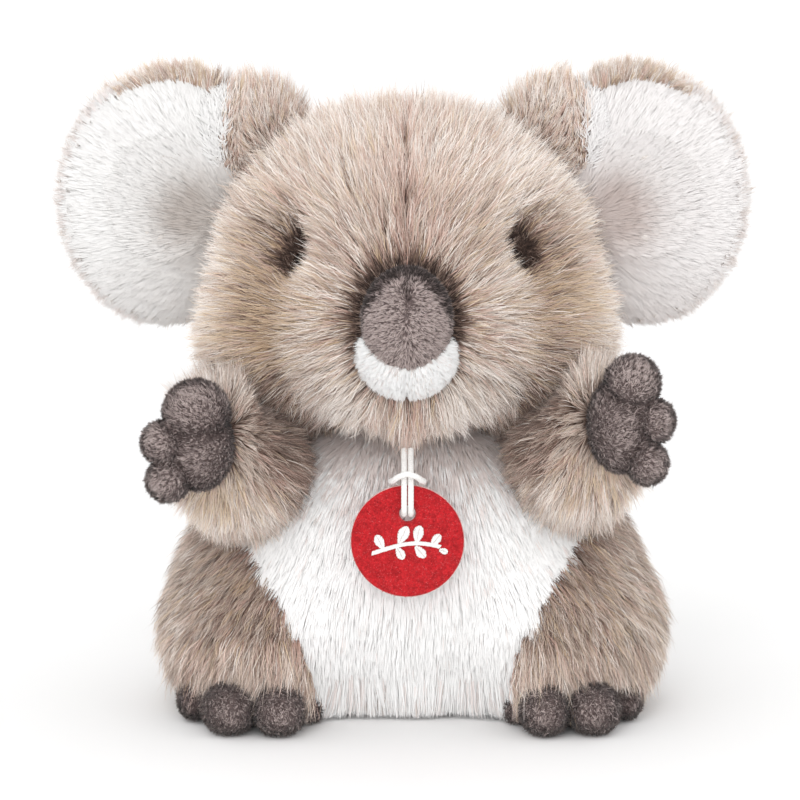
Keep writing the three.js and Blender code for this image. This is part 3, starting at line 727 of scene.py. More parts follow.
FEET = {
    "right": [((-58, -45, 8), (20, 15, 9)), ((-77.4, -41, 7.9), (5.8, 10, 7.4)), ((-63.6, -61, 8.8), (9.3, 12.5, 9)),
              ((-45.4, -63, 8.9), (9.2, 12.5, 9)), ((-35.8, -46, 5.4), (5.2, 8, 5.6))],
    "left": [((61, -45, 8), (20, 15, 9)), ((80.8, -41, 7.9), (5.4, 10, 7.4)), ((67.6, -61, 8.8), (9.2, 12.5, 9)),
             ((49.9, -63, 8.9), (8.7, 12.5, 9)), ((40.6, -46, 5.4), (4.9, 8, 5.6))],
}
BELLY = np.array([[33, -6], [35, 12], [39, 30], [48, 50], [60, 68], [62, 84], [50, 100], [34, 112], [0, 122]], float)


def belly_half(z):
    return np.interp(z, BELLY[:, 1], BELLY[:, 0])


def in_belly(p):
    return (p[:, 1] < -8) & (np.abs(p[:, 0] - 2) < belly_half(p[:, 2]))


def arm_field(a):
    return blend_field([(a["s"], (a["r"][0],) * 3), (a["m"], (a["r"][1],) * 3), (a["w"], (a["r"][2],) * 3)], 8)


def rot_z(deg):
    a = math.radians(deg)
    return np.array([[math.cos(a), -math.sin(a), 0], [math.sin(a), math.cos(a), 0], [0, 0, 1]])


def rot_y(deg):
    a = math.radians(deg)
    return np.array([[math.cos(a), 0, math.sin(a)], [0, 1, 0], [-math.sin(a), 0, math.cos(a)]])


def ear_local(e, p):
    return (p - np.array(e["c"], float)) @ rot_z(e["turn"])


def ear_world(e, q):
    return q @ rot_z(e["turn"]).T + np.array(e["c"], float)


def root_matrix(e):
    return rot_z(e["turn"]) @ rot_y(e["root"][2])


def root_field(e):
    c, r, _ = e["root"]
    M = root_matrix(e)
    return lambda p: ell((p - np.array(c, float)) @ M, (0, 0, 0), r)

# --------------------------------------------------------------------------
# covers under the pile, cut from the frame's own panels
# --------------------------------------------------------------------------
def skin(node, fields, mat, body, edge=4.0):
    """The panel's mesh with its outer side brought onto the smooth surface."""
    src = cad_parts[node]
    me = src.data.copy()
    me.name = f"cover_{node}"
    bm = bmesh.new()
    bm.from_mesh(me)
    bmesh.ops.remove_doubles(bm, verts=bm.verts, dist=1e-6)
    for _ in range(3):
        long = [e for e in bm.edges if e.calc_length() > edge * MM]
        if not long:
            break
        bmesh.ops.subdivide_edges(bm, edges=long, cuts=1)
        bmesh.ops.triangulate(bm, faces=bm.faces)
    bm.verts.ensure_lookup_table()
    P = np.array([v.co for v in bm.verts]) / MM
    for f in fields:
        d = f(P)
        near = np.abs(d) < 1.25
        if near.any():
            Q = onto(f, P[near], 3)
            step = Q - P[near]
            # nothing moves down through the floor
            keep_flat = P[near][:, 2] < 0.7
            step[keep_flat] = 0
            P[near] += step
    P[:, 2] = np.maximum(P[:, 2], 0)
    for v, p in zip(bm.verts, P):
        v.co = p * MM
    for f in bm.faces:
        f.smooth = True
        f.material_index = 0
    bm.to_mesh(me)
    bm.free()
    me.materials.clear()
    me.materials.append(mat)
    me.set_sharp_from_angle(angle=math.radians(50))
    ob = bpy.data.objects.new(f"cover_{node}", me)
    scene.collection.objects.link(ob)
    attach(ob, body)
    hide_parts(node)
    return ob


def make_skins():
    for n in ("side_panel_right", "side_panel_left", "back_panel_right", "back_panel_left"):
        skin(n, [torso_f], BACK_TAUPE, "torso")
    for n in ("belly_panel", "base_panel"):
        skin(n, [torso_f], BACK_WHITE, "torso")
    for n in ("face_panel_right", "face_panel_left", "head_back_panel_right", "head_back_panel_left"):
        skin(n, [head_f], BACK_TAUPE, "head")
    for side, e in EARS.items():
        rim = lambda p, e=e: ell(ear_local(e, p), (0, 0, 0), e["r"])
        dist = e["r"][1] - DISH_SINK + DISH_R
        dish = lambda p, e=e, dist=dist: np.linalg.norm(ear_local(e, p) - np.array((0, -dist, 0)), axis=1) - DISH_R
        skin(f"ear_front_{side}", [rim, dish], BACK_EAR, f"ear_{side}")
        skin(f"ear_back_{side}", [rim], BACK_TAUPE, f"ear_{side}")
        skin(f"ear_root_{side}", [root_field(e)], BACK_TAUPE, f"ear_{side}")
        skin(f"arm_sleeve_{side}", [arm_field(ARMS[side])], BACK_TAUPE, f"arm_{side}", 3.0)


def dress_inner():
    """The pieces inside the covers keep their shapes and get their own finish."""
    for name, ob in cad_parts.items():
        if name == "neck_stuffing":
            m = BACK_TAUPE          # it shows in the neck opening, where cloth closes it
        elif "stuffing" in name or "padding" in name:
            m = FILLING
        elif name == "pellet_bag":
            m = PELLETS
        elif name.startswith("eye_washer"):
            m = WASHER
        else:
            continue
        if not ob.material_slots:
            ob.data.materials.append(m)
        for sl in ob.material_slots:
            sl.material = m

# --------------------------------------------------------------------------
# smooth bodies for the short-pile pieces
# --------------------------------------------------------------------------
def tri_arrays(me):
    me.calc_loop_triangles()
    V = np.empty(len(me.vertices) * 3); me.vertices.foreach_get("co", V)
    T = np.empty(len(me.loop_triangles) * 3, np.int32); me.loop_triangles.foreach_get("vertices", T)
    N = np.empty(len(me.vertices) * 3); me.vertices.foreach_get("normal", N)
    return V.reshape(-1, 3) / MM, T.reshape(-1, 3), N.reshape(-1, 3)


def sample_mesh(me, n, seed, keep=None):
    V, T, Nv = tri_arrays(me)
    a, b, c = V[T[:, 0]], V[T[:, 1]], V[T[:, 2]]
    area = np.linalg.norm(np.cross(b - a, c - a), axis=1) / 2
    rng = np.random.default_rng(seed)
    outP, outN, have = [], [], 0
    for _ in range(10):
        k = rng.choice(len(T), int((n - have) * 1.4) + 100, p=area / area.sum())
        u, v = rng.random(len(k)), rng.random(len(k))
        f = u + v > 1
        u[f], v[f] = 1 - u[f], 1 - v[f]
        w = 1 - u - v
        P = a[k] * w[:, None] + b[k] * u[:, None] + c[k] * v[:, None]
        N = unit(Nv[T[k, 0]] * w[:, None] + Nv[T[k, 1]] * u[:, None] + Nv[T[k, 2]] * v[:, None])
        if keep is not None:
            ok = keep(P)
            P, N = P[ok], N[ok]
        outP.append(P); outN.append(N)
        have += len(P)
        if have >= n:
            break
    return np.concatenate(outP)[:n], np.concatenate(outN)[:n]


def baked_mesh(ob):
    """Applies the object's modifiers and returns the new mesh."""
    dg = bpy.context.evaluated_depsgraph_get()
    me = bpy.data.meshes.new_from_object(ob.evaluated_get(dg))
    old = ob.data
    ob.modifiers.clear()
    ob.data = me
    bpy.data.meshes.remove(old)
    return me


def lobed(name, lobes, voxel, soften):
    """One closed skin over a set of ellipsoid lobes."""
    bm = bmesh.new()
    for c, r in lobes:
        m = bmesh.ops.create_icosphere(bm, subdivisions=4, radius=1.0)
        for v in m["verts"]:
            v.co = Vector([(c[i] + r[i] * v.co[i]) * MM for i in range(3)])
    me = bpy.data.meshes.new(name)
    bm.to_mesh(me)
    bm.free()
    ob = bpy.data.objects.new(name, me)
    scene.collection.objects.link(ob)
    mod = ob.modifiers.new("join", "REMESH")
    mod.mode = "VOXEL"
    mod.voxel_size = voxel * MM
    sm = ob.modifiers.new("soft", "SMOOTH")
    sm.factor = 0.5
    sm.iterations = soften
    baked_mesh(ob)
    return ob


def reshape(ob, fn):
    me = ob.data
    V = np.empty(len(me.vertices) * 3); me.vertices.foreach_get("co", V)
    V = fn(V.reshape(-1, 3) / MM) * MM
    me.vertices.foreach_set("co", V.astype(np.float32).ravel())
    me.update()
    return ob


def swell(ob, pressure=3.0, cap=1.1, frames=14):
    """The filling pushes the cover out, so that it fills between its seams."""
    V0, _, _ = tri_arrays(ob.data)
    mod = ob.modifiers.new("cloth", "CLOTH")
    st = mod.settings
    st.quality = 4
    st.mass = 0.2
    st.tension_stiffness = st.compression_stiffness = 12
    st.shear_stiffness = 4
    st.bending_stiffness = 0.4
    st.use_pressure = True
    st.uniform_pressure_force = pressure
    st.effector_weights.gravity = 0
    mod.point_cache.frame_start, mod.point_cache.frame_end = 1, frames
    for f in range(1, frames + 1):
        scene.frame_set(f)
    baked_mesh(ob)
    scene.frame_set(1)
    V1, _, _ = tri_arrays(ob.data)
    d = V1 - V0
    l = np.linalg.norm(d, axis=1, keepdims=True)
    V = V0 + d * np.minimum(1, cap / np.maximum(l, 1e-9))
    ob.data.vertices.foreach_set("co", (V * MM).astype(np.float32).ravel())
    ob.data.update()


def finish_piece(ob, mat, body, nodes):
    ob.data.materials.clear()
    ob.data.materials.append(mat)
    ob.data.polygons.foreach_set("use_smooth", np.ones(len(ob.data.polygons), bool))
    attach(ob, body)
    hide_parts(*nodes)
    return ob


def out_of_ball(c, r):
    c = np.array(c, float)
    def fn(V):
        d = V - c
        l = np.linalg.norm(d, axis=1, keepdims=True)
        return np.where(l < r, c + d * (r / np.maximum(l, 1e-6)), V)
    return fn

# --------------------------------------------------------------------------
# pile on the head
# --------------------------------------------------------------------------
def tones(P, rng, base, spread=0.2, scale=7.0, seed=0, big=0.16):
    t = base + big * noise3(P, scale, 11 + seed) + 0.10 * noise3(P, 2.2, 23 + seed) + spread * rng.normal(size=len(P))
    return np.clip(t, 0, 1)


def pick(rng, shares):
    c = np.cumsum(shares / shares.sum(1, keepdims=True), 1)
    return (rng.random(len(c))[:, None] > c).sum(1).clip(0, shares.shape[1] - 1)


def spot(P, x, z, rx, rz):
    return np.exp(-((P[:, 0] - x) / rx) ** 2 - ((P[:, 2] - z) / rz) ** 2)


MUZZLE = np.array((0.3, -78, 149.0))


def head_fur():
    for side, sx in (("right", -1), ("left", 1)):
        for part, n in (("face", 39500), ("back", 17000)):
            n = int(n * DENSE)
            rng = np.random.default_rng(100 + sx + (10 if part == "face" else 0))
            def keep(q):
                ok = (q[:, 0] * sx > 0.05) & ((q[:, 1] < 6) if part == "face" else (q[:, 1] >= 6))
                ok &= ell(q, *NOSE) > 0.1
                ok &= ell(q, *MOUTH) > 0.2
                ok &= np.linalg.norm(q - np.array(NECK), axis=1) > 21
                for c, _ in EYES.values():
                    ok &= np.linalg.norm(q - np.array(c), axis=1) > 4.6
                return ok
            # denser in front, where it is seen straight on
            wt = (lambda q: 0.5 + 0.5 * smooth(-q[:, 1], -5, 25)) if part == "face" else None
            P = sample_star(head_f, HEAD_C, n, 200 + sx + (10 if part == "face" else 0), keep, wt)
            N = gradient(head_f, P)
            X = P[:, 0]
            T = P - MUZZLE
            T = T - N * (T * N).sum(1, keepdims=True)
            T = unit(T)
            # behind the crown the pile falls down the back of the head
            down = np.array([0, 0.2, -1.0])
            w = smooth(P[:, 1], 2, 40)[:, None]
            T = T * (1 - w) + down * w
            # just parted along the centre seam
            # round an eye it fans out from the foot of the pocket
            foot_of = np.stack([np.full(len(P), SLITS[side][1][0]), P[:, 1], np.full(len(P), SLITS[side][1][1] - 1.5)], 1)
            fan = unit(P - foot_of)
            T[:, 0] += sx * 0.22 * np.exp(-(X / 3.0) ** 2) * (1 - w[:, 0]) * smooth(P[:, 2], 160, 172)
            T = unit(T)
            ds, out = slit(P)
            turned = (0.85 * np.exp(-(ds / 8.0) ** 2) * (out > 0) * (P[:, 2] > SLITS[side][1][1] - 2) * (part == "face"))[:, None]
            T = unit(T * (1 - turned) + fan * turned)
            dn = np.linalg.norm(P - MUZZLE, axis=1)
            rho = np.hypot(X - 0.3, (P[:, 2] - 147.0) / 0.95)
            turn = np.degrees(np.arctan2(P[:, 2] - 147.0, np.abs(X)))
            cheekward = smooth(turn, -80, -62) * (1 - smooth(turn, 22, 42)) * (P[:, 1] < -12)
            ruff = np.exp(-((rho - 30) / 6.0) ** 2) * cheekward
            beyond = np.exp(-((rho - 42) / 6.0) ** 2) * cheekward
            L = 5.4 + 9.0 * smooth(dn, 14, 42) + 1.2 * ruff - 3.0 * beyond
            # what grows towards an eye hangs over its inner edge
            toward = (ds < 15) & (out < 0) & (part == "face")
            L = np.where(toward, np.minimum(L, np.maximum(2.2, (ds - 0.6) / 0.95)), L)
            L = np.where((ds < 10) & (out >= 0) & (part == "face"), np.minimum(L, 4.2 + 0.72 * ds), L)
            L = L * (1 + 0.08 * smooth(P[:, 2], 190, 212))
            close = 1 - smooth(dn, 16, 30)
            lean0 = 49 - 28 * close - 7 * smooth(P[:, 2], 192, 214) - 12 * ruff + 12 * beyond
            lean1 = 72 - 16 * close - 14 * smooth(P[:, 2], 192, 214) - 16 * ruff + 6 * beyond
            lean0 = lean0 - 8 * toward
            # colour by place
            tone = 0.58 + 0.30 * smooth(np.abs(X), 50, 66) + 0.18 * smooth(P[:, 2], 172, 198) - 0.10 * (1 - smooth(rho, 32, 40))
            # the band just past the ruff is darkened as painted shade under the ruff's tips
            tone += 0.10 * ruff - 0.20 * beyond
            amber = spot(P, 48, 152, 13, 13) if sx > 0 else spot(P, -45, 147, 13, 13)
            tone -= 0.30 * amber + (0.24 * amber if sx < 0 else 0)
            # a pale patch over one eye and on the outside of the other cheek
            pale = spot(P, 45, 194, 16, 14) if sx > 0 else 0.8 * spot(P, -68, 158, 12, 20)
            fair = spot(P, sx * 15, 121, 16, 12) * (P[:, 1] < -20)
            tone += 0.16 * pale + 0.26 * fair
            tone -= (0.16 if sx < 0 else 0.05) * spot(P, sx * 28, 147, 10, 15)
            # the underside of the cheeks, where they rest on the arms, is darkened as painted shade
            under = np.maximum(spot(P, sx * 49, 112, 26, 15), spot(P, sx * 42, 116, 14, 9)) * (P[:, 1] < 10) * smooth(rho, 34, 42)
            tone -= 0.85 * under
            L = L * (1 - 0.30 * under)
            # painted shade in the socket of the nose: near-black short strands at its edge
            nose_halo_shade = 1 - smooth(ell(P, *NOSE), 2.2, 4.6 + 2.6 * smooth(P[:, 2], 158, 166))
            low = smooth(140 - P[:, 2], 2, 14) * (1 - smooth(rho, 34, 44))
            tone -= 0.8 * nose_halo_shade
            L = np.where(nose_halo_shade > 0.3, np.minimum(L, 3.6 + 2.5 * (1 - nose_halo_shade)), L)
            # painted shade round the nose: a band of dark-rooted strands
            nose_ring_shade = (1 - smooth(dn, 17, 27)) * smooth(P[:, 2], 118, 140)
            # painted shade of the recessed eye pockets: near-black along the slits, brown shade spreading out round
            # them
            eye_lid_shade = np.where(out >= 0, np.exp(-(ds / 4.6) ** 3), np.exp(-(ds / 1.4) ** 2)) * (part == "face")
            eye_pocket_shade = np.where(out >= 0, np.exp(-(ds / 11.0) ** 2), 0.3 * np.exp(-(ds / 3.0) ** 2)) * (part == "face")
            tone -= 1.0 * eye_lid_shade + 0.42 * eye_pocket_shade
            seam = np.exp(-((X + 1.0 - 0.02 * (P[:, 2] - 165)) / 2.4) ** 2) * smooth(P[:, 2], 162, 170) * (1 - smooth(P[:, 1], -12, 8)) * (part == "face")
            seam2 = np.exp(-(X / 2.4) ** 2) * (P[:, 2] < 124) * (part == "face")
            tone -= 0.34 * seam * (1 - 0.5 * smooth(P[:, 2], 190, 204)) + 0.25 * seam2
            spread = (0.15 + 0.11 * (1 - smooth(rho, 34, 46))) * (1 - 0.8 * eye_lid_shade)
            tone = tones(P, rng, np.clip(tone, 0.02, 0.98), spread, 8.0, 0, 0.12)
            pink = 0.5 + 0.5 * noise3(P, 9.0, 71)
            gold = 0.5 + 0.5 * noise3(P, 12.0, 72)
            one = np.ones(len(P))
            shares = np.stack([
                0.46 * one,
                0.10 + 0.50 * pink ** 2.5 + 2.0 * seam + 0.8 * seam2 + 0.25 * spot(P, 0, 190, 22, 26),
                0.04 + 0.42 * gold ** 3 + (2.4 if sx < 0 else 1.2) * amber + 0.4 * eye_pocket_shade,
                0.03 + 14.0 * eye_lid_shade + 0.45 * eye_pocket_shade + 0.25 * seam + 0.15 * beyond + 12.0 * nose_halo_shade + 2.4 * under + (0.5 * amber if sx < 0 else 0),
                0.20 + 0.60 * smooth(np.abs(X), 52, 66) + 0.45 * smooth(P[:, 2], 180, 202) + 0.5 * ruff + 0.9 * pale + 1.7 * fair,
                0.05 + 2.8 * nose_ring_shade + 0.4 * eye_pocket_shade + 0.9 * low * (1 - 0.7 * fair) + 0.5 * under,
            ], 1)
            shares[:, 4] *= (1 - 0.95 * np.clip(eye_pocket_shade, 0, 1)) * (1 - 0.8 * amber) * (1 - 0.9 * nose_halo_shade) * (1 - 0.8 * under)
            b = pick(rng, shares)
            # near-black strands paint the darkest shade in the eye pockets and at the nose's edge
            black = np.maximum(np.where(out >= 0, np.exp(-(ds / 3.6) ** 3), 0) * (part == "face"), 0.92 * nose_halo_shade)
            b = np.where(rng.random(len(P)) < black, 6, b)
            node = f"face_panel_{side}" if part == "face" else f"head_back_panel_{side}"
            fur(f"pile_{node}", P, N, T, L, "head", TAUPE, b, tone, lean=(lean0, lean1), clump_mm=1.15, clump=0.42, wander=14,
                width=0.21, seed=300 + sx + (10 if part == "face" else 0), locks=(2.7, 0.16 + 0.5 * low * (1 - nose_halo_shade)))
    # dark strands in the eye pockets, painted shade of the recessed pockets, all but covering the eyes
    for side, ((ax, az), (bx, bz)) in SLITS.items():
        rng = np.random.default_rng(7)
        n = int(2000 * max(DENSE, 0.6))
        t = rng.random(n) * 1.15 - 0.07
        o = -1.0 if side == "right" else 1.0
        q = np.stack([ax + (bx - ax) * t + o * (0.9 + rng.normal(size=n) * 1.9), np.full(n, -62.0), az + (bz - az) * t + rng.normal(size=n) * 1.4], 1)
        hit = march(head_f, q, np.tile(np.array([[0, 1.0, 0]]), (n, 1)))
        N = gradient(head_f, hit)

        k = np.where(rng.random(len(hit)) < 0.14, 3, 6)
        T = unit(hit - np.array([bx + o * 0.5, 0, bz - 4.0])) * np.array([1, 0, 1]) + np.stack([0.25 * rng.normal(size=len(hit)), 0 * k, 0.25 * rng.normal(size=len(hit))], 1)
        fur(f"pile_eye_pocket_{side}", hit, N, T, np.full(len(hit), 5.0), "head", TAUPE, k, np.clip(0.18 + 0.22 * rng.normal(size=len(hit)), 0, 1),
            lean=(np.full(len(hit), 20.0), np.full(len(hit), 62.0)), clump_mm=1.0, clump=0.6, seed=17, width=0.22, wander=8, frizz=0.06)
    # the fringe of the nape that hangs over the opening of the neck
    rng = np.random.default_rng(290)
    n = int(9000 * DENSE)
    turn = np.radians(np.clip(rng.normal(size=n) * 62, -150, 150))
    q = np.stack([NECK[0] + 120 * np.sin(turn), NECK[1] + 120 * np.cos(turn), 112.0 + rng.random(n) * 12], 1)
    d = unit(np.stack([-np.sin(turn), -np.cos(turn), np.zeros(n)], 1))
    hit = march(head_f, q, d)
    ok = (np.abs(head_f(hit)) < 0.6) & (hit[:, 1] > -4) & (np.linalg.norm(hit[:, :2] - np.array(NECK[:2]), axis=1) > 12)
    hit, d = hit[ok], d[ok]
    N = gradient(head_f, hit)
    T = np.stack([0.1 * d[:, 0], 0.1 * d[:, 1], -np.ones(len(hit))], 1)
    shares = np.tile(np.array([[0.42, 0.22, 0.12, 0.10, 0.08, 0.20]]), (len(hit), 1))
    fur("pile_nape", hit, N, T, 13.5 + 3.5 * rng.random(len(hit)), "head", TAUPE, pick(rng, shares), tones(hit, rng, 0.46, 0.2),
        lean=(np.full(len(hit), 36.0), np.full(len(hit), 84.0)), clump_mm=1.4, clump=0.5, seed=291, sag=0.2, width=0.24, locks=(3.0, 0.3))
    # the fringe of the chin that hangs over the top of the cord
    rng = np.random.default_rng(190)
    n = int(6500 * DENSE)
    x = 0.5 + rng.normal(size=n) * 17
    q = np.stack([x, np.full(n, -110.0), 114.5 + rng.random(n) * 10], 1)
    hit = march(head_f, q, np.tile(np.array([[0, 1.0, 0]]), (n, 1)))
    ok = np.abs(hit[:, 0]) < 40
    hit = hit[ok]
    n = len(hit)
    N = gradient(head_f, hit)
    T = np.tile(np.array([[0, -0.25, -1.0]]), (n, 1))
    T[:, 0] += 0.010 * hit[:, 0]
    mid = np.exp(-((hit[:, 0] - 0.5) / 9.0) ** 2)
    shares = np.stack([0.34 + 0 * mid, 0.30 + 0.40 * mid, 0.08 + 0 * mid, 0.03 + 0 * mid, 0.24 + 0.3 * mid, 0.20 * (1 - 0.5 * mid)], 1)
    L = 12.5 + 12.5 * np.exp(-((hit[:, 0] - 0.5) / 8.0) ** 2) * rng.random(n) ** 1.2 - 4.0 * rng.random(n) ** 2
    fur("pile_chin_tuft", hit, N, T, L, "head", TAUPE, pick(rng, shares), tones(hit, rng, 0.72, 0.20),
        lean=(np.full(n, 44.0), np.full(n, 90.0)), clump_mm=1.4, clump=0.5, seed=191, sag=0.26, width=0.22, locks=(3.2, 0.45))


def march(f, q, d, far=200):
    """First crossing of f = 0 along rays d from q."""
    t = np.zeros(len(q))
    for _ in range(60):
        v = f(q + d * t[:, None])
        t += np.clip(v, 0, None) * 0.8 + (v > 0.02) * 0.02
        if (v <= 0.02).all() or t.max() > far:
            break
    return onto(f, q + d * t[:, None], 2)

# --------------------------------------------------------------------------
# pile on the torso
# --------------------------------------------------------------------------
def far_out(P):
    return smooth(np.abs(P[:, 0]), 50, 70)


def torso_fur():
    arms = [(np.array(a["s"]), a["r"][0] + 0.5) for a in ARMS.values()]
    armf = [arm_field(a) for a in ARMS.values()]
    def common(q):
        ok = q[:, 2] > 1.0
        ok &= np.linalg.norm(q - np.array(NECK), axis=1) > 21
        for c, r in arms:
            ok &= np.linalg.norm(q - c, axis=1) > r
        for f in armf:
            ok &= f(q) > 0.5
        for f in FEET.values():
            for c, r in f:
                ok &= ell(q, c, r) > 0.5
        return ok
    # belly
    n = int(38000 * DENSE)
    rng = np.random.default_rng(41)
    P = sample_star(torso_f, TORSO_C, n, 42, lambda q: common(q) & in_belly(q))
    N = gradient(torso_f, P)
    dx = P[:, 0] - 2
    T = np.stack([0.30 * np.sign(dx) * smooth(np.abs(dx), 5, 45) * smooth(P[:, 2], 10, 50) + 0.10 * noise3(P, 16, 5), np.zeros(len(P)), -np.ones(len(P))], 1)
    L = 9.0 + 0.7 * noise3(P, 10, 8)
    dt = np.hypot(P[:, 0] - 0.5, P[:, 2] - 71.2)
    L = np.where(dt < 28, 6.0 + 6 * smooth(dt, 17, 28), L)
    L = np.where(P[:, 2] < 10, L * 0.8, L)
    # towards the chin the belly turns to darker pinkish and a few grey strands: painted shade and pink bounce light
    # under the chin
    top = smooth(P[:, 2], 74, 104)
    b = np.where(rng.random(len(P)) < 0.03 + 0.90 * top, 1, 0)
    b = np.where(rng.random(len(P)) < 0.03 * smooth(P[:, 2], 76, 92), 2, b)
    tone = tones(P, rng, 0.66 - 0.50 * top, 0.03, 9, 0, 0.03)
    fur("pile_belly_panel", P, N, T, L, "torso", WHITE, b, tone, lean=(57 + 0 * L, 80 + 0 * L), clump_mm=1.6,
        clump=0.03, wander=4, frizz=0.03, floor=0.3, seed=43, width=0.44, soft=1.0, calm=0.88, mottle=0.01)
    # its hem hangs over the edge of the seat
    n = int(7500 * DENSE)
    x = 2 + (rng.random(n) - 0.5) * 74
    q = np.stack([x, np.full(n, -140.0), 7.5 + rng.random(n) * 15], 1)
    hit = march(torso_f, q, np.tile(np.array([[0, 1.0, 0]]), (n, 1)))
    ok = in_belly(hit) & common(hit)
    hit = hit[ok]
    N = gradient(torso_f, hit)
    T = np.tile(np.array([[0.0, -0.45, -1.0]]), (len(hit), 1))
    L = np.clip(hit[:, 2] * 0.98 - 1.0, 5, 17) + 1.6 * rng.normal(size=len(hit))
    # a few grey strands at the hem paint the shadow along the seat
    b = np.where(rng.random(len(hit)) < 0.03, 2, (rng.random(len(hit)) < 0.2).astype(int))
    fur("pile_belly_hem", hit, N, T, L, "torso", WHITE, b, tones(hit, rng, 0.66, 0.06, 9, 0, 0.04), lean=(np.full(len(hit), 54.0), np.full(len(hit), 96.0)),
        clump_mm=1.4, clump=0.08, wander=5, frizz=0.05, floor=0.4, seed=44, width=0.40, soft=0.95, sag=0.3, calm=0.5, mottle=0.04)
    for side, sx in (("right", -1), ("left", 1)):
        for part, n in (("side", 38000), ("back", 17000)):
            n = int(n * DENSE)
            rng = np.random.default_rng(50 + sx + (10 if part == "side" else 0))
            def keep(q):
                ok = common(q) & ~in_belly(q) & ((q[:, 0] - 1) * sx > 0)
                return ok & ((q[:, 1] < 10) if part == "side" else (q[:, 1] >= 10))
            P = sample_star(torso_f, TORSO_C, n, 60 + sx + (10 if part == "side" else 0), keep)
            N = gradient(torso_f, P)
            w = smooth(P[:, 1], -10, 30)[:, None]
            # slanted outwards down the flanks, straighter near the seat and the seam
            off = np.abs(P[:, 0] - 2) - belly_half(P[:, 2])
            slant = 0.20 * smooth(P[:, 2], 4, 34) * smooth(off, -4, 10) * (1 - 0.8 * far_out(P)) + 0.08
            T = np.stack([slant * sx, np.zeros(len(P)), -np.ones(len(P)) * 0.76], 1)
            T = unit(T * (1 - w) + np.array([0.1 * sx, 0, -1.0]) * w)
            T[:, 0] -= sx * 0.55 * np.exp(-((P[:, 0] - 1) / 2.2) ** 2) * (P[:, 1] > 0) * rng.random(len(P))
            L = 12.0 + 1.2 * noise3(P, 12, 9)
            L = np.where(P[:, 2] < 8, L * 0.7, L)
            edge = np.exp(-(off / 9.0) ** 2) * (P[:, 1] < -8)
            far = smooth(np.abs(P[:, 0]), 60, 80)
            tone = 0.33 + 0.34 * far + 0.14 * noise3(P, 15, 31) - 0.20 * edge - 0.14 * smooth(P[:, 2], 50, 80) * (1 - far) - 0.06 * (P[:, 2] < 40)
            dull = spot(P, sx * 55, 34, 18, 12) * (1.0 if sx < 0 else 0.4)
            tone -= 0.30 * dull
            tone = tones(P, rng, np.clip(tone, 0, 1), 0.24, 7, 3, 0.28)
            pink = 0.5 + 0.5 * noise3(P, 11.0, 73)
            gold = 0.5 + 0.5 * noise3(P, 14.0, 74)
            high = smooth(P[:, 2], 44, 80)
            shares = np.stack([0.42 + 0 * off, 0.10 + 0.5 * pink ** 2.5 + 0.35 * high, 0.06 + 0.5 * gold ** 3 + 0.10 * (sx > 0),
                               0.14 + 0.24 * edge * (1 - far) + 0.45 * dull, 0.04 + 0.40 * far * (1 - dull), 0.26 + 0.2 * dull], 1)
            b = pick(rng, shares)
            node = f"{part}_panel_{side}"
            fur(f"pile_{node}", P, N, T, L, "torso", TAUPE, b, tone, lean=(48 + 0 * L, 78 + 0 * L), clump_mm=1.25, clump=0.5, floor=0.3, wander=9,
                width=0.22, seed=70 + sx + (10 if part == "side" else 0), locks=(3.0, 0.35))
    # the fringe of the flanks over the tops of the toes
    for side, sx in (("right", -1), ("left", 1)):
        rng = np.random.default_rng(210 + sx)
        n = int(7800 * DENSE)
        pad = FEET[side][0][0]
        t = rng.random(n)                                      # 0 at the outer side, 1 by the belly
        x = pad[0] + sx * (24 - 52 * t)
        q = np.stack([x, np.full(n, -140.0), 20.0 + rng.random(n) * 15], 1)
        hit = march(torso_f, q, np.tile(np.array([[0, 1.0, 0]]), (n, 1)))
        ok = ~in_belly(hit) & (torso_f(hit) < 0.2)
        hit, t = hit[ok], t[ok]
        N = gradient(torso_f, hit)
        T = np.stack([0.34 * sx * (1 - 0.7 * t), np.full(len(hit), -0.30), -np.ones(len(hit))], 1)
        one = np.ones(len(hit))
        shares = np.stack([0.45 * one, 0.24 * one, 0.10 * one, 0.10 * one, 0.10 + 0.14 * t, 0.22 * one], 1)
        L = 13.0 + 7.5 * smooth(t, 0.30, 0.75) - 4.0 * smooth(t, 0.88, 1.0) + 2.4 * rng.normal(size=len(hit)).clip(-1.6, 1.2)
        fur(f"pile_fringe_{side}", hit, N, T, L, "torso", TAUPE, pick(rng, shares), tones(hit, rng, 0.48, 0.22),
            lean=(np.full(len(hit), 30.0), np.full(len(hit), 70.0)), clump_mm=1.3, clump=0.5, seed=220 + sx, floor=3.0, sag=0.15, width=0.22,
            locks=(3.0, 0.4))

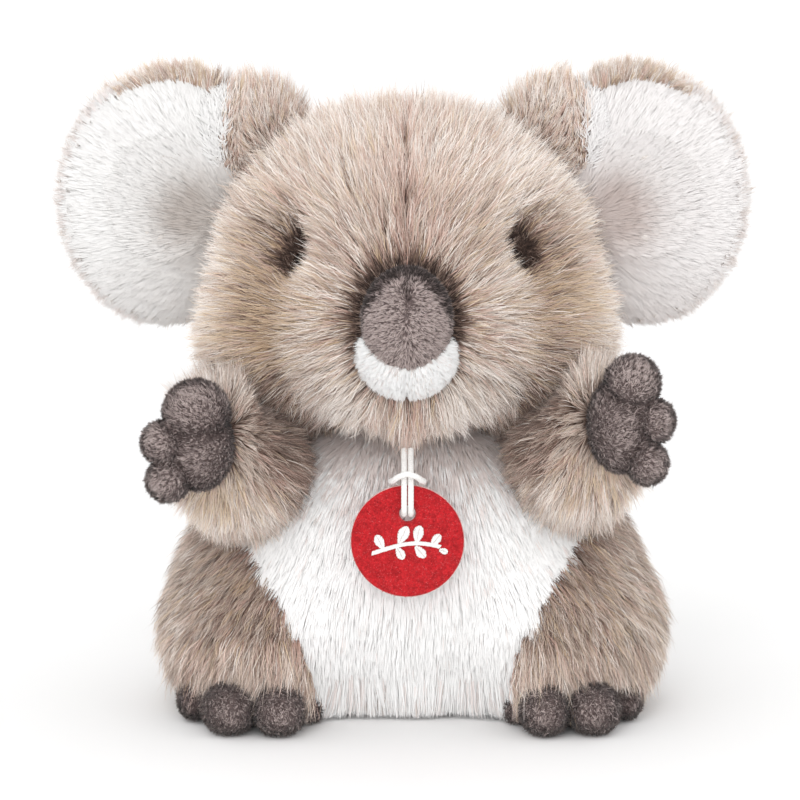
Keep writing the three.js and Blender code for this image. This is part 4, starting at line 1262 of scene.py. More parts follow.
# --------------------------------------------------------------------------
# pile on the ears
# --------------------------------------------------------------------------
def ear_fur():
    for side, e in EARS.items():
        rx, ry, rz = e["r"]
        sx = e["s"]
        R = rot_z(e["turn"])
        dist = ry - DISH_SINK + DISH_R
        def front(u, w):
            rho = np.minimum((u / rx) ** 2 + (w / rz) ** 2, 1)
            return np.maximum(-ry * np.sqrt(1 - rho), -dist + np.sqrt(np.maximum(DISH_R ** 2 - u * u - w * w, 0)))
        def back_of(u, w):
            return ry * np.sqrt(np.maximum(1 - (u / rx) ** 2 - (w / rz) ** 2, 1e-4))
        rootf = root_field(e)
        for part, n in (("front", 30000), ("back", 20000)):
            n = int(n * DENSE)
            rng = np.random.default_rng(81 + sx + (10 if part == "front" else 0))
            m = int(n * 1.9)
            rr = np.sqrt(rng.random(m)) * 0.995
            th = rng.random(m) * 2 * np.pi
            # more roots on the steep rim
            rim = rng.random(m) < 0.22
            rr = np.where(rim, 0.9 + 0.098 * rng.random(m), rr)
            u, w = rr * np.cos(th) * rx, rr * np.sin(th) * rz
            surf = front if part == "front" else back_of
            y = surf(u, w)
            h = 0.3
            du = (surf(u + h, w) - surf(u - h, w)) / (2 * h)
            dw = (surf(u, w + h) - surf(u, w - h)) / (2 * h)
            sgn = -1.0 if part == "front" else 1.0
            nl = unit(np.stack([-du * sgn, np.full(m, sgn), -dw * sgn], 1))
            P = ear_world(e, np.stack([u, y, w], 1))
            N = nl @ R.T
            ok = (head_base(P) > 1.5) & (rootf(P) > 0.2)
            P, N, u, w = P[ok][:n], N[ok][:n], u[ok][:n], w[ok][:n]
            rho = np.sqrt((u / rx) ** 2 + (w / rz) ** 2)
            out = -u * -sx                                    # outwards from the head
            # combed from the root by the head out to the rim
            d = unit(np.stack([u + sx * rx * 0.75, w + rz * 0.25], 1))
            T = np.stack([d[:, 0], np.zeros(len(u)), d[:, 1]], 1) @ R.T
            ang = np.degrees(np.arctan2(w, sx * u))             # 0 outwards, 90 up, 180 by the head
            if part == "front":
                top = smooth(ang, 55, 80) * (1 - smooth(ang, 150, 170)) * smooth(rho, 0.80, 0.93)
                L = 7.6 - 2.4 * top
                lean = (58 + 4 * rho, 78 + 2 * rho)
                near = spot(np.stack([sx * u, u * 0, w], 1), -11, -6, 14, 13)
                low = smooth(-w + 0.4 * (-sx * u), 4, 40)
                # painted shade: one lot runs from brown-grey in the hollow by the head to white, darker towards the
                # bottom
                tone = np.clip((0.92 if sx < 0 else 0.85) - 0.16 * low - 1.0 * near, 0.02, 0.98)
                tone = np.clip(tone + 0.025 * rng.normal(size=len(P)) + 0.02 * noise3(P, 7.0, 21), 0, 1)
                fur(f"pile_ear_front_{side}", P, N, T, L, f"ear_{side}", WHITE, np.full(len(P), 3 if sx < 0 else 4), tone, lean=lean, clump_mm=1.5,
                    clump=0.08, frizz=0.05, sag=0.05, seed=91 + sx, width=0.46, wander=6, soft=1.0, mottle=0.01, calm=0.75)
            else:
                T = unit(T + np.array([0, 0, 0.30]))
                # the long pile of the back stands up behind the rim, most of all towards the head
                top = smooth(ang, 30, 70) * (1 - smooth(ang, 168, 178))
                high = smooth(ang, 64, 112) * top
                L = 8.2 + (0.4 * top + 2.0 * high) * smooth(rho, 0.6, 0.92)
                l0 = 44 + 8 * rho - 30 * top * smooth(rho, 0.80, 0.95)
                l1 = 76 + 2 * rho - 36 * top * smooth(rho, 0.80, 0.95)
                outer = 1 - top
                tone = tones(P, rng, 0.66 + 0.08 * top + 0.16 * outer * smooth(rho, 0.8, 0.95), 0.14)
                one = 0 * u
                rimw = outer * smooth(rho, 0.8, 0.93)
                shares = np.stack([0.42 + one, (0.16 + 0.20 * top) * (1 - 0.8 * rimw), (0.10 + 0.30 * top) * (1 - rimw), 0.02 * (1 - rimw) * (1 - top),
                                   0.20 + 0.8 * rimw + 0.9 * top, 0.05 * (1 - rimw) * (1 - top)], 1)
                b = pick(rng, shares)
                # what stands above the rim is lit from the front and above
                band = (top * smooth(rho, 0.82, 0.95))[:, None]
                lit = unit(N * (1 - band) + np.array([0, -0.62, 0.78]) * band)
                fur(f"pile_ear_back_{side}", P, N, T, L, f"ear_{side}", TAUPE, b, tone, lean=(l0, l1), sag=0.02, seed=95 + sx, clump_mm=1.3,
                    width=0.22, lit=lit)
        # the rim along the top is edged with the pile of the back
        rng = np.random.default_rng(230 + sx)
        n = int(6500 * DENSE)
        deg = 58 + rng.random(n) ** 0.8 * 88
        th = np.radians(deg)
        rr = 0.95 + 0.045 * rng.random(n)
        u, w = sx * rr * np.cos(th) * rx, rr * np.sin(th) * rz
        y = front(u, w) + 0.2
        P = ear_world(e, np.stack([u, y, w], 1))
        ok = (rootf(P) > 0.2) & (head_base(P) > 1.5)
        P, u, w, deg = P[ok], u[ok], w[ok], deg[ok]
        N = unit(np.stack([u / rx ** 2 * 10, np.full(len(u), -0.08), w / rz ** 2 * 10], 1)) @ R.T
        T = np.tile(np.array([[0.35 * sx, -0.3, 0.6]]), (len(P), 1))
        shares = np.tile(np.array([[0.34, 0.24, 0.34, 0.005, 0.50, 0.01]]), (len(P), 1))
        L = 5.0 + 5.0 * smooth(deg, 64, 100) + 1.5 * rng.random(len(P))
        fur(f"pile_ear_edge_{side}", P, N, T, L, f"ear_{side}", TAUPE, pick(rng, shares), tones(P, rng, 0.72, 0.14),
            lean=(np.full(len(P), 12.0), np.full(len(P), 30.0)), clump_mm=1.3, seed=240 + sx, sag=0, width=0.22,
            lit=unit(N + np.array([0, -0.9, 0.3])))
        # thin greyish hairs round the outer rim
        n = int(6500 * DENSE)
        deg = -78 + rng.random(n) ** 0.8 * 143
        th = np.radians(deg)
        rr = 0.975 + 0.02 * rng.random(n)
        u, w = sx * rr * np.cos(th) * rx, rr * np.sin(th) * rz
        mix = rng.random(n)
        P = ear_world(e, np.stack([u, front(u, w) * (1 - mix) + back_of(u, w) * mix + 0.2, w], 1))
        N = unit(np.stack([u / rx ** 2 * 10, np.full(len(u), -0.25), w / rz ** 2 * 10], 1)) @ R.T
        T = np.stack([0.3 * sx * np.ones(n), np.full(n, 0.2), 0.5 * np.sin(th)], 1)
        fur(f"pile_ear_rim_{side}", P, N, T, 5.0 + 2.4 * rng.random(n), f"ear_{side}", WHITE, np.where(rng.random(n) < 0.22, 2, 1), tones(P, rng, 0.80, 0.2),
            lean=(np.full(n, 18.0), np.full(n, 44.0)), clump_mm=1.6, clump=0.5, seed=245 + sx, sag=0, width=0.2)
        # the pile of both sides laps over the seam along the edge
        n = int(9000 * DENSE)
        th = np.radians(-118 + rng.random(n) * 250)
        rr = 0.985 + 0.013 * rng.random(n)
        u, w = sx * rr * np.cos(th) * rx, rr * np.sin(th) * rz
        mix = rng.random(n)
        P = ear_world(e, np.stack([u, front(u, w) * (1 - mix) + back_of(u, w) * mix, w], 1))
        ok = (rootf(P) > 0.3) & (head_base(P) > 1.5)
        P, u, w, mix = P[ok], u[ok], w[ok], mix[ok]
        N = unit(np.stack([u / rx ** 2, 0 * u, w / rz ** 2], 1)) @ R.T
        T = (np.stack([0.3 * u / rx, np.where(mix < 0.5, 1.0, -1.0) + 0.3 * rng.normal(size=len(u)), 0.3 * w / rz], 1)) @ R.T
        fur(f"pile_ear_side_{side}", P, N, T, 4.2 + 1.6 * rng.random(len(u)), f"ear_{side}", WHITE, np.where(mix < 0.42, (rng.random(len(u)) < 0.5).astype(int), 2),
            tones(P, rng, 0.86, 0.14), lean=(np.full(len(u), 50.0), np.full(len(u), 76.0)), clump_mm=1.5, clump=0.4, seed=247 + sx, sag=0, width=0.26)
        # the padded root
        c, r, _ = e["root"]
        M = root_matrix(e)
        n = int(14000 * DENSE)
        rng = np.random.default_rng(250 + sx)
        q = sample_lobes([((0, 0, 0), r)], n, 251 + sx)
        P = q @ M.T + np.array(c)
        ok = (head_base(P) > 1.2) & (ell(ear_local(e, P), (0, 0, 0), (rx, ry, rz)) > 0.4)
        P = P[ok]
        N = gradient(rootf, P)
        # the white pile of the front goes on over the outer end of the root
        white = (np.abs(P[:, 0]) > 67.4 + 1.6 * noise3(P, 4.0, 3) + 1.1 * rng.normal(size=len(P)) - 0.12 * (P[:, 2] - 208)) & (N[:, 1] < 0.1)
        Pw, Nw = P[white], N[white]
        Tw = np.stack([sx * (0.35 + 0.5 * rng.normal(size=len(Pw))), np.zeros(len(Pw)), np.full(len(Pw), 0.7)], 1)
        # lower down it darkens as painted shade, into the hollow by the head
        fur(f"pile_ear_front_end_{side}", Pw, Nw, Tw, np.full(len(Pw), 6.5), f"ear_{side}", WHITE, np.full(len(Pw), 3 if sx < 0 else 4),
            np.clip(0.93 + 0.025 * rng.normal(size=len(Pw)) - 0.3 * smooth(186 - Pw[:, 2], -6, 8), 0, 1), lean=(np.full(len(Pw), 40.0), np.full(len(Pw), 70.0)),
            clump_mm=1.5, clump=0.08, frizz=0.05, sag=0.02, seed=265 + sx, width=0.44, wander=10, soft=1.0, mottle=0.01, calm=0.6)
        P, N = P[~white], N[~white]
        # from the crease at the head up and outwards
        crease = np.array((sx * 36.0, 8.0, 190.0))
        T = unit(P - crease)
        hb = head_base(P)
        head_crease_shade = 1 - smooth(hb, 2.5, 9)
        up = smooth(P[:, 2], 206, 226)
        tipward = smooth(np.abs(P[:, 0]), 54, 64)
        L = 9.0 + 1.6 * up + 1.0 * noise3(P, 8, 77) - 2.0 * head_crease_shade - 4.2 * tipward * (1 - 0.5 * up)
        T[:, 0] -= sx * 0.9 * tipward
        T = unit(T + np.array([0, 0, 0.2]))
        # painted shade: darker, with dark-rooted and guard strands, in the crease against the head
        tone = tones(P, rng, 0.84 + 0.08 * up - 0.46 * head_crease_shade, 0.12)
        shares = np.stack([0.30 + 0 * hb, 0.42 + 0 * hb, 0.10 + 0.12 * up, 0.01 + 0.7 * head_crease_shade, 0.46 + 0.30 * up, 0.02 + 0.4 * head_crease_shade], 1)
        shares[:, 4] *= 1 - 0.7 * head_crease_shade
        fur(f"pile_ear_root_{side}", P, N, T, L, f"ear_{side}", TAUPE, pick(rng, shares), tone,
            lean=(34 - 14 * up, 62 - 22 * up), clump_mm=1.25, clump=0.45, seed=260 + sx, sag=0.0, width=0.21, locks=(2.6, 0.2),
            lit=unit(N + np.array([0, -0.35, 0.1])))

# --------------------------------------------------------------------------
# pile on the arms
# --------------------------------------------------------------------------
def arm_fur():
    for side, a in ARMS.items():
        sx = -1 if side == "right" else 1
        f = arm_field(a)
        n = int(29000 * DENSE)
        rng = np.random.default_rng(121 + sx)
        def keep(q):
            ok = torso_f(q) > 1.0
            for c, r in PAWS[side]:
                ok &= ell(q, c, r) > 0.3
            return ok
        P = sample_star(f, a["m"], n, 130 + sx, keep)
        N = gradient(f, P)
        w = np.array(a["w"], float) + np.array((sx * 3.0, -8, 4))
        T = unit(P - w)
        dn = np.linalg.norm(P - w, axis=1)
        low = smooth(a["m"][2] + 2 - P[:, 2], 0, 15)
        inner = smooth(-sx * (P[:, 0] - a["m"][0]), 2, 15)
        up = smooth(P[:, 2] - a["m"][2], 3, 14)
        outer = smooth(sx * (P[:, 0] - a["m"][0]), -6, 1)
        tuft = up * smooth(N[:, 2], 0.25, 0.7) * outer
        L = 6.5 + 8.0 * smooth(dn, 8, 26) + 7.0 * tuft
        tight = up * (1 - outer)
        cheek_nook_shade = smooth(P[:, 2] - a["m"][2], 10, 20) * (1 - outer)      # where the cheek rests on the arm, darkened below as painted shade
        L = L * (1 - 0.45 * tight)
        T = T * (1 - 0.6 * tuft[:, None]) + np.array([sx * 0.25, 0.15, 0.6]) * (0.6 * tuft[:, None])
        # painted shade: darker on the inner side, at the inner edge facing the body and where the cheek rests on the
        # arm
        tone = 0.68 + 0.28 * low * (1 - 0.4 * inner) - 0.18 * inner * (1 - low) * (1 - 0.6 * tuft) - 0.30 * (1 - smooth(dn, 9, 18)) + 0.26 * tuft - 0.10 * tight - 0.45 * cheek_nook_shade
        tone += 0.20 * low if sx > 0 else 0
        inner_edge_shade = smooth(-sx * N[:, 0], 0.50, 0.86) * (1 - 0.35 * low)
        tone -= 0.55 * inner_edge_shade
        tone = tones(P, rng, np.clip(tone, 0, 1), 0.30, 5, 6, 0.30)
        pink = 0.5 + 0.5 * noise3(P, 9.0, 75)
        amber = spot(P, a["w"][0] + sx * 3, a["w"][2] - 13, 8, 6) * (P[:, 1] < a["m"][1])
        shares = np.stack([np.full(len(P), 0.36), 0.14 + 0.5 * pink ** 2 * (1 - 0.5 * low) + 0.3 * tuft, 0.06 + 0.06 * low + 0.9 * amber,
                           (0.08 + 0.12 * inner * (1 - low) + 0.2 * tight + 2.2 * cheek_nook_shade) * (1 - 0.7 * tuft) + 1.7 * inner_edge_shade, 0.04 + 0.85 * low * (1 - inner * 0.5) * (1 - 0.8 * amber) + 0.5 * tuft,
                           0.30 + 1.5 * (1 - smooth(dn, 9, 16))], 1)
        b = pick(rng, shares)
        fur(f"pile_arm_sleeve_{side}", P, N, T, L, f"arm_{side}", TAUPE, b, tone, lean=(34 - 22 * tuft, 62 - 34 * tuft), clump_mm=1.3, clump=0.5,
            seed=140 + sx, sag=0.16 * (1 - tuft), width=0.22, locks=(2.6, 0.45))
        # the cloth that closes the wrist under the paw, seen when the paw bends
        ob = sphere_piece(f"wrist_lining_{side}", a["w"], [a["r"][2] - 1.0] * 3, None, 4)
        ob.data.materials.append(BACK_TAUPE)
        ob.data.polygons.foreach_set("use_smooth", np.ones(len(ob.data.polygons), bool))
        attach(ob, f"arm_{side}")

# --------------------------------------------------------------------------
# nose, mouth, paws and feet: a cover of their own under short pile
# --------------------------------------------------------------------------
def sphere_piece(name, c, r, fn=None, level=5):
    bm = bmesh.new()
    bmesh.ops.create_icosphere(bm, subdivisions=level, radius=1.0)
    for v in bm.verts:
        v.co = Vector([(c[i] + r[i] * v.co[i]) * MM for i in range(3)])
    me = bpy.data.meshes.new(name)
    bm.to_mesh(me)
    bm.free()
    ob = bpy.data.objects.new(name, me)
    scene.collection.objects.link(ob)
    if fn:
        reshape(ob, fn)
    return ob


def face_details():
    def nose_shape(V):
        # a short dart runs down from the top, and the cover pulls in along it
        x, z = V[:, 0] - NOSE[0][0], V[:, 2] - NOSE[0][2]
        k = 1.6 * np.exp(-(x / 1.5) ** 2) * smooth(z, 6, 14) * (V[:, 1] < NOSE[0][1])
        d = unit(V - np.array(NOSE[0]))
        return V - d * k[:, None]
    ob = sphere_piece("cover_nose", *NOSE, nose_shape)
    finish_piece(ob, BACK_DARK, "head", ["nose_cover"])
    rng = np.random.default_rng(150)
    P, N = sample_mesh(ob.data, int(15000 * DENSE), 151, lambda q: head_base(q) > -1.5)
    zz = P[:, 2] - NOSE[0][2]
    # combed away from the middle line
    centre = np.stack([np.full(len(P), NOSE[0][0]), np.full(len(P), -84.0), NOSE[0][2] + np.clip(zz, -9, 11)], 1)
    T = unit(P - centre)
    T[:, 2] -= 0.35
    xx = P[:, 0] - NOSE[0][0]
    # painted shade: darker towards the nose's outline, most of all along its top, and in the groove of the dart
    out_n = np.hypot(xx / NOSE[1][0], zz / NOSE[1][2])
    high = smooth(zz, -4, 9)
    dark = smooth(out_n, 0.93 - 0.20 * high - 0.05 * smooth(xx, -4, 8), 1.02 - 0.10 * high) * (0.35 + 0.65 * high)
    cut = np.exp(-(xx / 1.1) ** 2) * smooth(zz, 0, 9)
    dark = np.maximum(dark, 0.8 * cut * smooth(zz, 6, 11))
    t = 0.98 - 0.85 * dark - 0.35 * smooth(out_n, 0.6, 0.95) - 0.40 * cut - 0.15 * np.exp(-(xx / 1.2) ** 2)
    shares = np.stack([0.25 * (1 - dark) + 0.3 * smooth(out_n, 0.55, 0.85), 0.85 * (1 - dark), 0.05 + 0.5 * cut, 2.2 * dark], 1)
    fur("pile_nose_cover", P, N, T, 2.0 + 0 * t, "head", SHORT, pick(rng, shares), tones(P, rng, np.clip(t, 0, 1), 0.24, 2.2),
        width=0.19, lean=(32 + 0 * t, 66 + 0 * t), clump_mm=0.8, clump=0.55, frizz=0.22, segs=2, sag=0, wander=16, seed=152)

    def mouth_f(q):
        k = 1.1 * np.exp(-((q[:, 0] - 0.3) / 1.6) ** 2) * smooth(MOUTH[0][2] - q[:, 2], 2, 8) * (q[:, 1] < MOUTH[0][1])
        return ell(q, *MOUTH) + k
    skin("mouth_patch", [mouth_f], BACK_WHITE, "head", 2.5)
    rng = np.random.default_rng(155)
    P = sample_lobes([MOUTH], int(9000 * DENSE), 153, lambda q: (head_base(q) > -1.5) & (ell(q, *NOSE) > 0.5))
    P = onto(mouth_f, P, 2)
    N = gradient(mouth_f, P)
    T = unit(P - np.array((0.3, -80, 152.0)))
    T[:, 0] += 0.3 * np.sign(P[:, 0]) * np.exp(-(P[:, 0] / 3) ** 2)
    fur("pile_mouth_patch", P, N, T, 2.9 + 0 * P[:, 0], "head", WHITE, np.where(rng.random(len(P)) < 0.02, 2, (rng.random(len(P)) < 0.12).astype(int)),
        tones(P, rng, 0.92, 0.06, 3.0, 0, 0.04), width=0.28, lean=(30 + 0 * P[:, 0], 60 + 0 * P[:, 0]), clump_mm=1.0, clump=0.2, frizz=0.2, segs=2, sag=0,
        seed=154, soft=0.85)

    for side, (c, d) in EYES.items():
        c, d = np.array(c, float), unit(np.array(d, float) * np.array([0.5, 1, 1]))
        t = 6.0
        while head_f((c + d * t)[None])[0] > 0:
            t -= 0.05
        back = t - 0.5
        up = Vector(d).to_track_quat("Z", "Y").to_matrix()
        M = np.array(up)
        rings, around = 14, 40
        dome = EYE_R - 0.9
        prof = [(dome * math.cos(a), 0.2 + dome * math.sin(a)) for a in np.linspace(math.asin(-0.2 / dome), math.pi / 2 * 0.985, rings)]
        prof = [(1.8, -11.0), (1.8, -0.35), (dome - 0.5, -0.3), (dome - 0.1, -0.1)] + prof
        V, F = [], []
        for r_, z_ in prof:
            for k in range(around):
                a = 2 * math.pi * k / around
                V.append(c + M @ np.array([r_ * math.cos(a), r_ * math.sin(a), back + z_]))
        n0 = len(V)
        V += [c + M @ np.array([0, 0, back + 0.2 + dome]), c + M @ np.array([0, 0, back - 11.0])]
        for i in range(len(prof) - 1):
            for k in range(around):
                j = (k + 1) % around
                F.append((i * around + k, i * around + j, (i + 1) * around + j, (i + 1) * around + k))
        for k in range(around):
            j = (k + 1) % around
            F.append(((len(prof) - 1) * around + k, (len(prof) - 1) * around + j, n0))
            F.append((j, k, n0 + 1))
        ob = mesh_object(f"eye_dome_{side}", V, F, EYE)
        ob.data.polygons.foreach_set("use_smooth", np.ones(len(F), bool))
        ob.data.set_sharp_from_angle(angle=math.radians(60))
        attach(ob, "head")
        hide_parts(f"eye_{side}")


EYE_R = 4.6


def crease(P, lobes):
    """1 where two lobes meet, falling to 0 about 3 mm away; it marks where the pile is darkened as painted shade."""
    d = np.sort(np.array([np.abs(ell(P, c, r)) for c, r in lobes]), axis=0)
    return np.exp(-(d[1] / 2.6) ** 2)


def limb_ends():
    for side, sx in (("right", -1), ("left", 1)):
        a = ARMS[side]
        ob = lobed(f"cover_paw_{side}", PAWS[side], 0.7, 2)
        swell(ob, 2.5, 0.5)
        reshape(ob, out_of_ball(a["w"], a["r"][2] + 0.9))
        finish_piece(ob, BACK_DARK, f"paw_{side}", [f"paw_cover_{side}"])
        rng = np.random.default_rng(165 + sx)
        P, N = sample_mesh(ob.data, int(21000 * DENSE), 160 + sx, lambda q: np.linalg.norm(q - np.array(a["w"]), axis=1) > a["r"][2] + 1.4)
        T = unit(P - np.array(a["w"]) + np.array((0, 0, 3.0)))
        # painted shade: darker in the creases and by the sleeve; paler on the fingertips
        dist = np.linalg.norm(P - np.array(a["w"]), axis=1)
        cr = crease(P, PAWS[side])
        base = 0.66 + 0.26 * smooth(dist, 20, 36) - 0.40 * (1 - smooth(dist, 14, 20)) - 0.60 * cr + 0.14 * noise3(P, 5, 3)
        shares = np.stack([0.42 + 0 * base, 0.34 + 0.4 * smooth(dist, 22, 36), 0.14 + 0.8 * cr, 0.02 + 0.9 * cr ** 2 + 0.5 * (1 - smooth(dist, 14, 19))], 1)
        fur(f"pile_paw_cover_{side}", P, N, T, 2.0 + 0 * base, f"paw_{side}", SHORT, pick(rng, shares),
            tones(P, rng, np.clip(base, 0, 1), 0.24, 2.4, 0, 0.14), width=0.21, lean=(26 + 0 * base, 62 + 0 * base), clump_mm=0.8, clump=0.55, frizz=0.28,
            segs=2, sag=0, wander=34, seed=166 + sx, soft=0.72)
        ob = lobed(f"cover_foot_{side}", FEET[side], 0.7, 2)
        swell(ob, 2.5, 0.5)
        reshape(ob, lambda V: np.column_stack([V[:, 0], V[:, 1], np.maximum(V[:, 2], 0.5)]))
        finish_piece(ob, BACK_DARK, f"foot_{side}", [f"foot_cover_{side}"])
        P, N = sample_mesh(ob.data, int(17000 * DENSE), 170 + sx, lambda q: (q[:, 2] > 0.7) & (torso_f(q) > 0.3))
        T = unit(np.stack([0.25 * (P[:, 0] - FEET[side][0][0][0]) / 20, -np.ones(len(P)), -0.25 * np.ones(len(P))], 1))
        cr = crease(P, FEET[side])
        # painted shade: darker in the creases between the toes
        base = 0.58 + 0.26 * smooth(-P[:, 1], 58, 72) - 0.55 * cr + 0.14 * noise3(P, 5, 4)
        shares = np.stack([0.45 + 0 * base, 0.28 + 0.2 * smooth(-P[:, 1], 62, 74), 0.16 + 0.8 * cr, 0.02 + 0.9 * cr ** 2], 1)
        fur(f"pile_foot_cover_{side}", P, N, T, 2.0 + 0 * base, f"foot_{side}", SHORT, pick(rng, shares),
            tones(P, rng, np.clip(base, 0, 1), 0.24, 2.4, 0, 0.14), width=0.21, lean=(26 + 0 * base, 62 + 0 * base), clump_mm=0.8, clump=0.55, frizz=0.28,
            segs=2, sag=0, floor=0.2, wander=34, seed=176 + sx, soft=0.72)

# --------------------------------------------------------------------------
# tag
# --------------------------------------------------------------------------
def tag_disc():
    cx, cy, cz, R, H = TAG["x"], TAG["y"], TAG["z"], TAG["r"], TAG["t"]
    hz, hr = TAG["holeZ"] - TAG["z"], TAG["holeR"]
    rng = np.random.default_rng(5)
    # rounded plate with a hole, built as rings between the hole and the rim
    around, rings = 180, 34
    prof = [(0.0, 1.0)]
    V, F = [], []
    ang = np.linspace(0, 2 * np.pi, around, endpoint=False)
    def ring_at(t):
        """t = 0 at the hole, 1 at the rim"""
        hx = hr * np.cos(ang); hz_ = hz + hr * np.sin(ang)
        ox = R * np.cos(ang); oz = R * np.sin(ang)
        return hx + (ox - hx) * t, hz_ + (oz - hz_) * t
    # front face, rounded outer edge, back face, rounded hole edge
    layers = []
    for t in np.linspace(0.04, 0.985, rings):
        layers.append((t, -H / 2))
    n_front = len(layers)
    for a in np.linspace(0, 1, 6)[1:-1]:
        layers.append((0.985 + 0.015 * math.sin(a * math.pi), -H / 2 + H * a))
    n_edge = len(layers)
    for t in np.linspace(0.985, 0.04, rings):
        layers.append((t, H / 2))
    n_back = len(layers)
    for a in np.linspace(0, 1, 6)[1:-1]:
        layers.append((0.04 - 0.04 * math.sin(a * math.pi), H / 2 - H * a))
    for i, (t, y) in enumerate(layers):
        x, z = ring_at(t)
        P = np.stack([cx + x, np.full(around, cy + y), cz + z], 1)
        if i < n_front or n_edge <= i < n_back:
            bump = 0.10 * noise3(P * np.array([1, 0, 1]), 1.3, 4) + 0.05 * noise3(P * np.array([1, 0, 1]), 0.6, 6)
            P[:, 1] += bump * (-1 if i < n_front else 1)
        V.append(P)
    V = np.concatenate(V)
    k = len(layers)
    for i in range(k):
        j = (i + 1) % k
        for m in range(around):
            q = (m + 1) % around
            F.append((i * around + m, i * around + q, j * around + q, j * around + m))
    ob = mesh_object("tag_felt", V, F, FELT)
    ob.data.materials.append(FELT_EDGE)
    for i, poly in enumerate(ob.data.polygons):
        row = i // around
        if n_front - 1 <= row < n_edge:
            poly.material_index = 1
        poly.use_smooth = True
    bm = bmesh.new(); bm.from_mesh(ob.data)
    bmesh.ops.recalc_face_normals(bm, faces=bm.faces)
    bm.to_mesh(ob.data); bm.free()
    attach(ob, "tag")
    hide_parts("tag_disc")

    # loose fibres of the felt
    n = int(9000 * DENSE)
    r = np.sqrt(rng.random(n)) * R * 0.97
    th = rng.random(n) * 2 * np.pi
    x, z = r * np.cos(th), r * np.sin(th)
    ok = np.hypot(x, z - hz) > hr + 0.4
    x, z = x[ok], z[ok]
    face = np.where(rng.random(len(x)) < 0.7, -1.0, 1.0)
    P = np.stack([cx + x, cy + face * (H / 2 - 0.1), cz + z], 1)
    N = np.stack([0 * x, face, 0 * x], 1)
    a = rng.random(len(x)) * 2 * np.pi
    T = np.stack([np.cos(a), 0 * x, np.sin(a)], 1)
    fur("tag_felt_fibres", P, N, T, np.full(len(x), 0.9), "tag", FELT_FIBRE, rng.integers(0, 2, len(x)), rng.random(len(x)),
        lean=(np.full(len(x), 60.0), np.full(len(x), 86.0)), width=0.12, clump=0, frizz=0.3, segs=2, sag=0, clump_mm=1.0, seed=6, sink=0.1)
    embroidery(cx, cy - H / 2, cz)


def thread(points, radius, V, F, sides=5):
    """A half-round stitch along a few points, standing on the felt."""
    pts = np.array(points)
    d = np.gradient(pts, axis=0)
    d = unit(d)
    up = np.array([0, -1.0, 0])
    s = unit(np.cross(d, up))
    base = len(V)
    m = len(pts)
    for i in range(m):
        e = math.sin(math.pi * (i + 0.35) / (m - 1 + 0.7))
        rr = radius * (0.35 + 0.65 * e ** 0.5)
        for k in range(sides):
            a = math.pi * k / (sides - 1)
            V.append(pts[i] + s[i] * rr * math.cos(a) + up * (rr * 1.1 * math.sin(a) + 0.05 + 0.28 * e))
    for i in range(m - 1):
        for k in range(sides - 1):
            F.append((base + i * sides + k, base + i * sides + k + 1, base + (i + 1) * sides + k + 1, base + (i + 1) * sides + k))
        F.append((base + i * sides + sides - 1, base + i * sides, base + (i + 1) * sides, base + (i + 1) * sides + sides - 1))
    F.append(tuple(base + k for k in range(sides)))
    F.append(tuple(base + (m - 1) * sides + k for k in reversed(range(sides))))


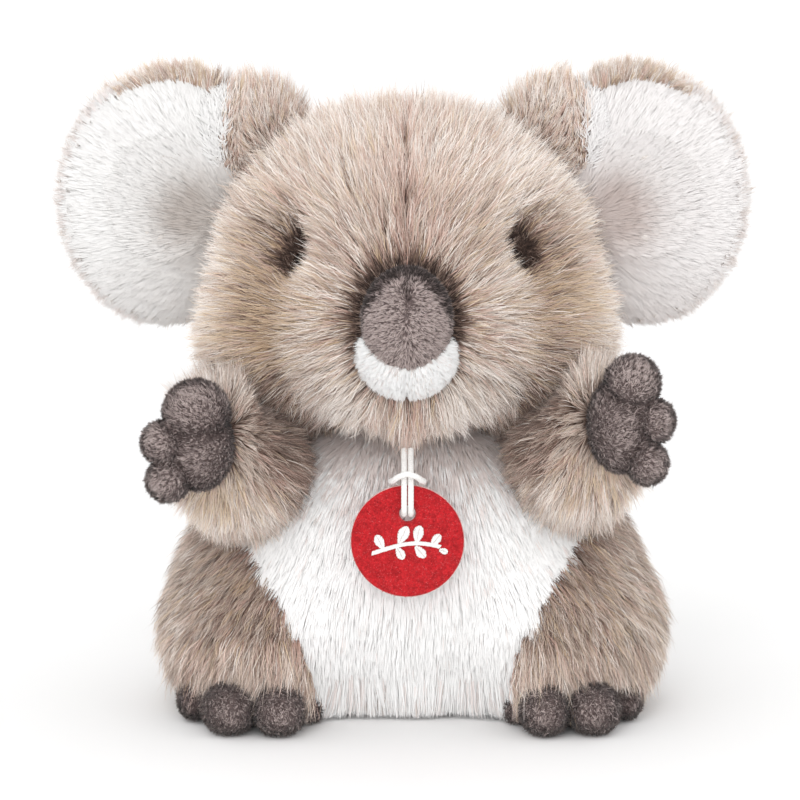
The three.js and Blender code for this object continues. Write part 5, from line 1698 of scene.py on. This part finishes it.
def embroidery(cx, y, cz):
    """A small leaf sprig in satin stitch."""
    V, F = [], []
    rng = np.random.default_rng(9)
    def leaf(x0, z0, ang, length, half):
        a = math.radians(ang)
        ax, az = math.cos(a), math.sin(a)
        nx, nz = -az, ax
        k = int(length / 0.42)
        for i in range(1, k):
            t = i / k
            w = half * math.sin(math.pi * t ** 0.85) ** 0.8
            for sgn in (-1, 1):
                bx, bz = x0 + ax * length * t, z0 + az * length * t
                tip = (bx + (nx * sgn * w + ax * w * 0.55) * (1 + 0.05 * rng.normal()), bz + (nz * sgn * w + az * w * 0.55) * (1 + 0.05 * rng.normal()))
                p = [(cx + bx + (tip[0] - bx) * s, y, cz + bz + (tip[1] - bz) * s) for s in (0, 0.3, 0.65, 1)]
                thread(p, 0.23, V, F)
    def stem(points, w=0.75):
        pts = np.array(points)
        seg = np.linalg.norm(np.diff(pts, axis=0), axis=1)
        s = np.concatenate([[0], np.cumsum(seg)])
        k = int(s[-1] / 0.40)
        for i in range(k + 1):
            t = s[-1] * i / k
            x = np.interp(t, s, pts[:, 0]); z = np.interp(t, s, pts[:, 1])
            dx = np.interp(min(t + 0.3, s[-1]), s, pts[:, 0]) - np.interp(max(t - 0.3, 0), s, pts[:, 0])
            dz = np.interp(min(t + 0.3, s[-1]), s, pts[:, 1]) - np.interp(max(t - 0.3, 0), s, pts[:, 1])
            l = math.hypot(dx, dz); nx, nz = -dz / l, dx / l
            ox, oz = dx / l * 0.35, dz / l * 0.35
            ww = w * (1 + 0.06 * rng.normal())
            p = [(cx + x + (nx * q * ww + ox * q), y, cz + z + (nz * q * ww + oz * q)) for q in (-1, -0.35, 0.35, 1)]
            thread(p, 0.23, V, F)
    t = np.linspace(0, 1, 24)
    stem(np.stack([-12.5 + 24 * t, -3.2 + 2.6 * np.sin(t * 3.0 - 0.4)], 1))
    for x0, z0, ang, ln, hw in ((-8.4, -2.9, 118, 6.0, 1.7), (-3.2, -0.9, 64, 7.2, 2.0), (-3.9, -1.7, -62, 5.4, 1.6), (3.1, -0.6, 78, 6.6, 1.9),
                                (2.6, -1.4, -50, 5.8, 1.7), (8.4, -1.6, 52, 5.4, 1.6), (11.0, -2.8, -18, 3.6, 1.1)):
        leaf(x0, z0, ang, ln, hw)
    ob = mesh_object("tag_embroidery", V, F, THREAD)
    ob.data.polygons.foreach_set("use_smooth", np.ones(len(F), bool))
    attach(ob, "tag")


make_skins()
dress_inner()
face_details()
limb_ends()
tag_disc()
head_fur()
torso_fur()
ear_fur()
arm_fur()

# --------------------------------------------------------------------------
# stage and light
# --------------------------------------------------------------------------
def stage_and_light():
    m, nt, p = new_material("floor")
    n1 = noise_node(nt, 3, 2)
    r = ramp(nt, n1.outputs["Fac"], [(0.3, (0.90, 0.90, 0.90, 1)), (0.7, (0.92, 0.92, 0.92, 1))])
    nt.links.new(r.outputs["Color"], p.inputs["Base Color"])
    p.inputs["Roughness"].default_value = 0.9
    p.inputs["Specular IOR Level"].default_value = 0.1
    me = bpy.data.meshes.new("floor")
    s = 80
    me.from_pydata([(-s, -s, 0), (s, -s, 0), (s, s, 0), (-s, s, 0)], [], [(0, 1, 2, 3)])
    floor = bpy.data.objects.new("floor", me)
    me.materials.append(m)
    scene.collection.objects.link(floor)

    w = bpy.data.worlds.new("studio")
    w.use_nodes = True
    w.node_tree.nodes["Background"].inputs["Color"].default_value = (1, 1, 1, 1)
    w.node_tree.nodes["Background"].inputs["Strength"].default_value = SKY
    scene.world = w

    def lamp(name, kind, at, to, energy, **more):
        d = bpy.data.lights.new(name, kind)
        d.energy = energy
        for k, v in more.items():
            setattr(d, k, v)
        o = bpy.data.objects.new(name, d)
        o.location = at
        o.rotation_mode = "QUATERNION"
        o.rotation_quaternion = (Vector(to) - Vector(at)).to_track_quat("-Z", "Y")
        scene.collection.objects.link(o)
    lamp("key", "SUN", (-0.35, -1.6, 2.0), (0, 0, 0.1), KEY, angle=math.radians(32))
    lamp("front", "AREA", (-0.1, -2.1, 0.42), (0, 0, 0.11), FRONT, shape="DISK", size=1.6)
    scene.cycles.max_bounces = 12
    scene.cycles.diffuse_bounces = 7
    scene.view_settings.view_transform = "Standard"
    scene.view_settings.look = "None"


SKY, KEY, FRONT = 1.05, 0.45, 17.5
stage_and_light()
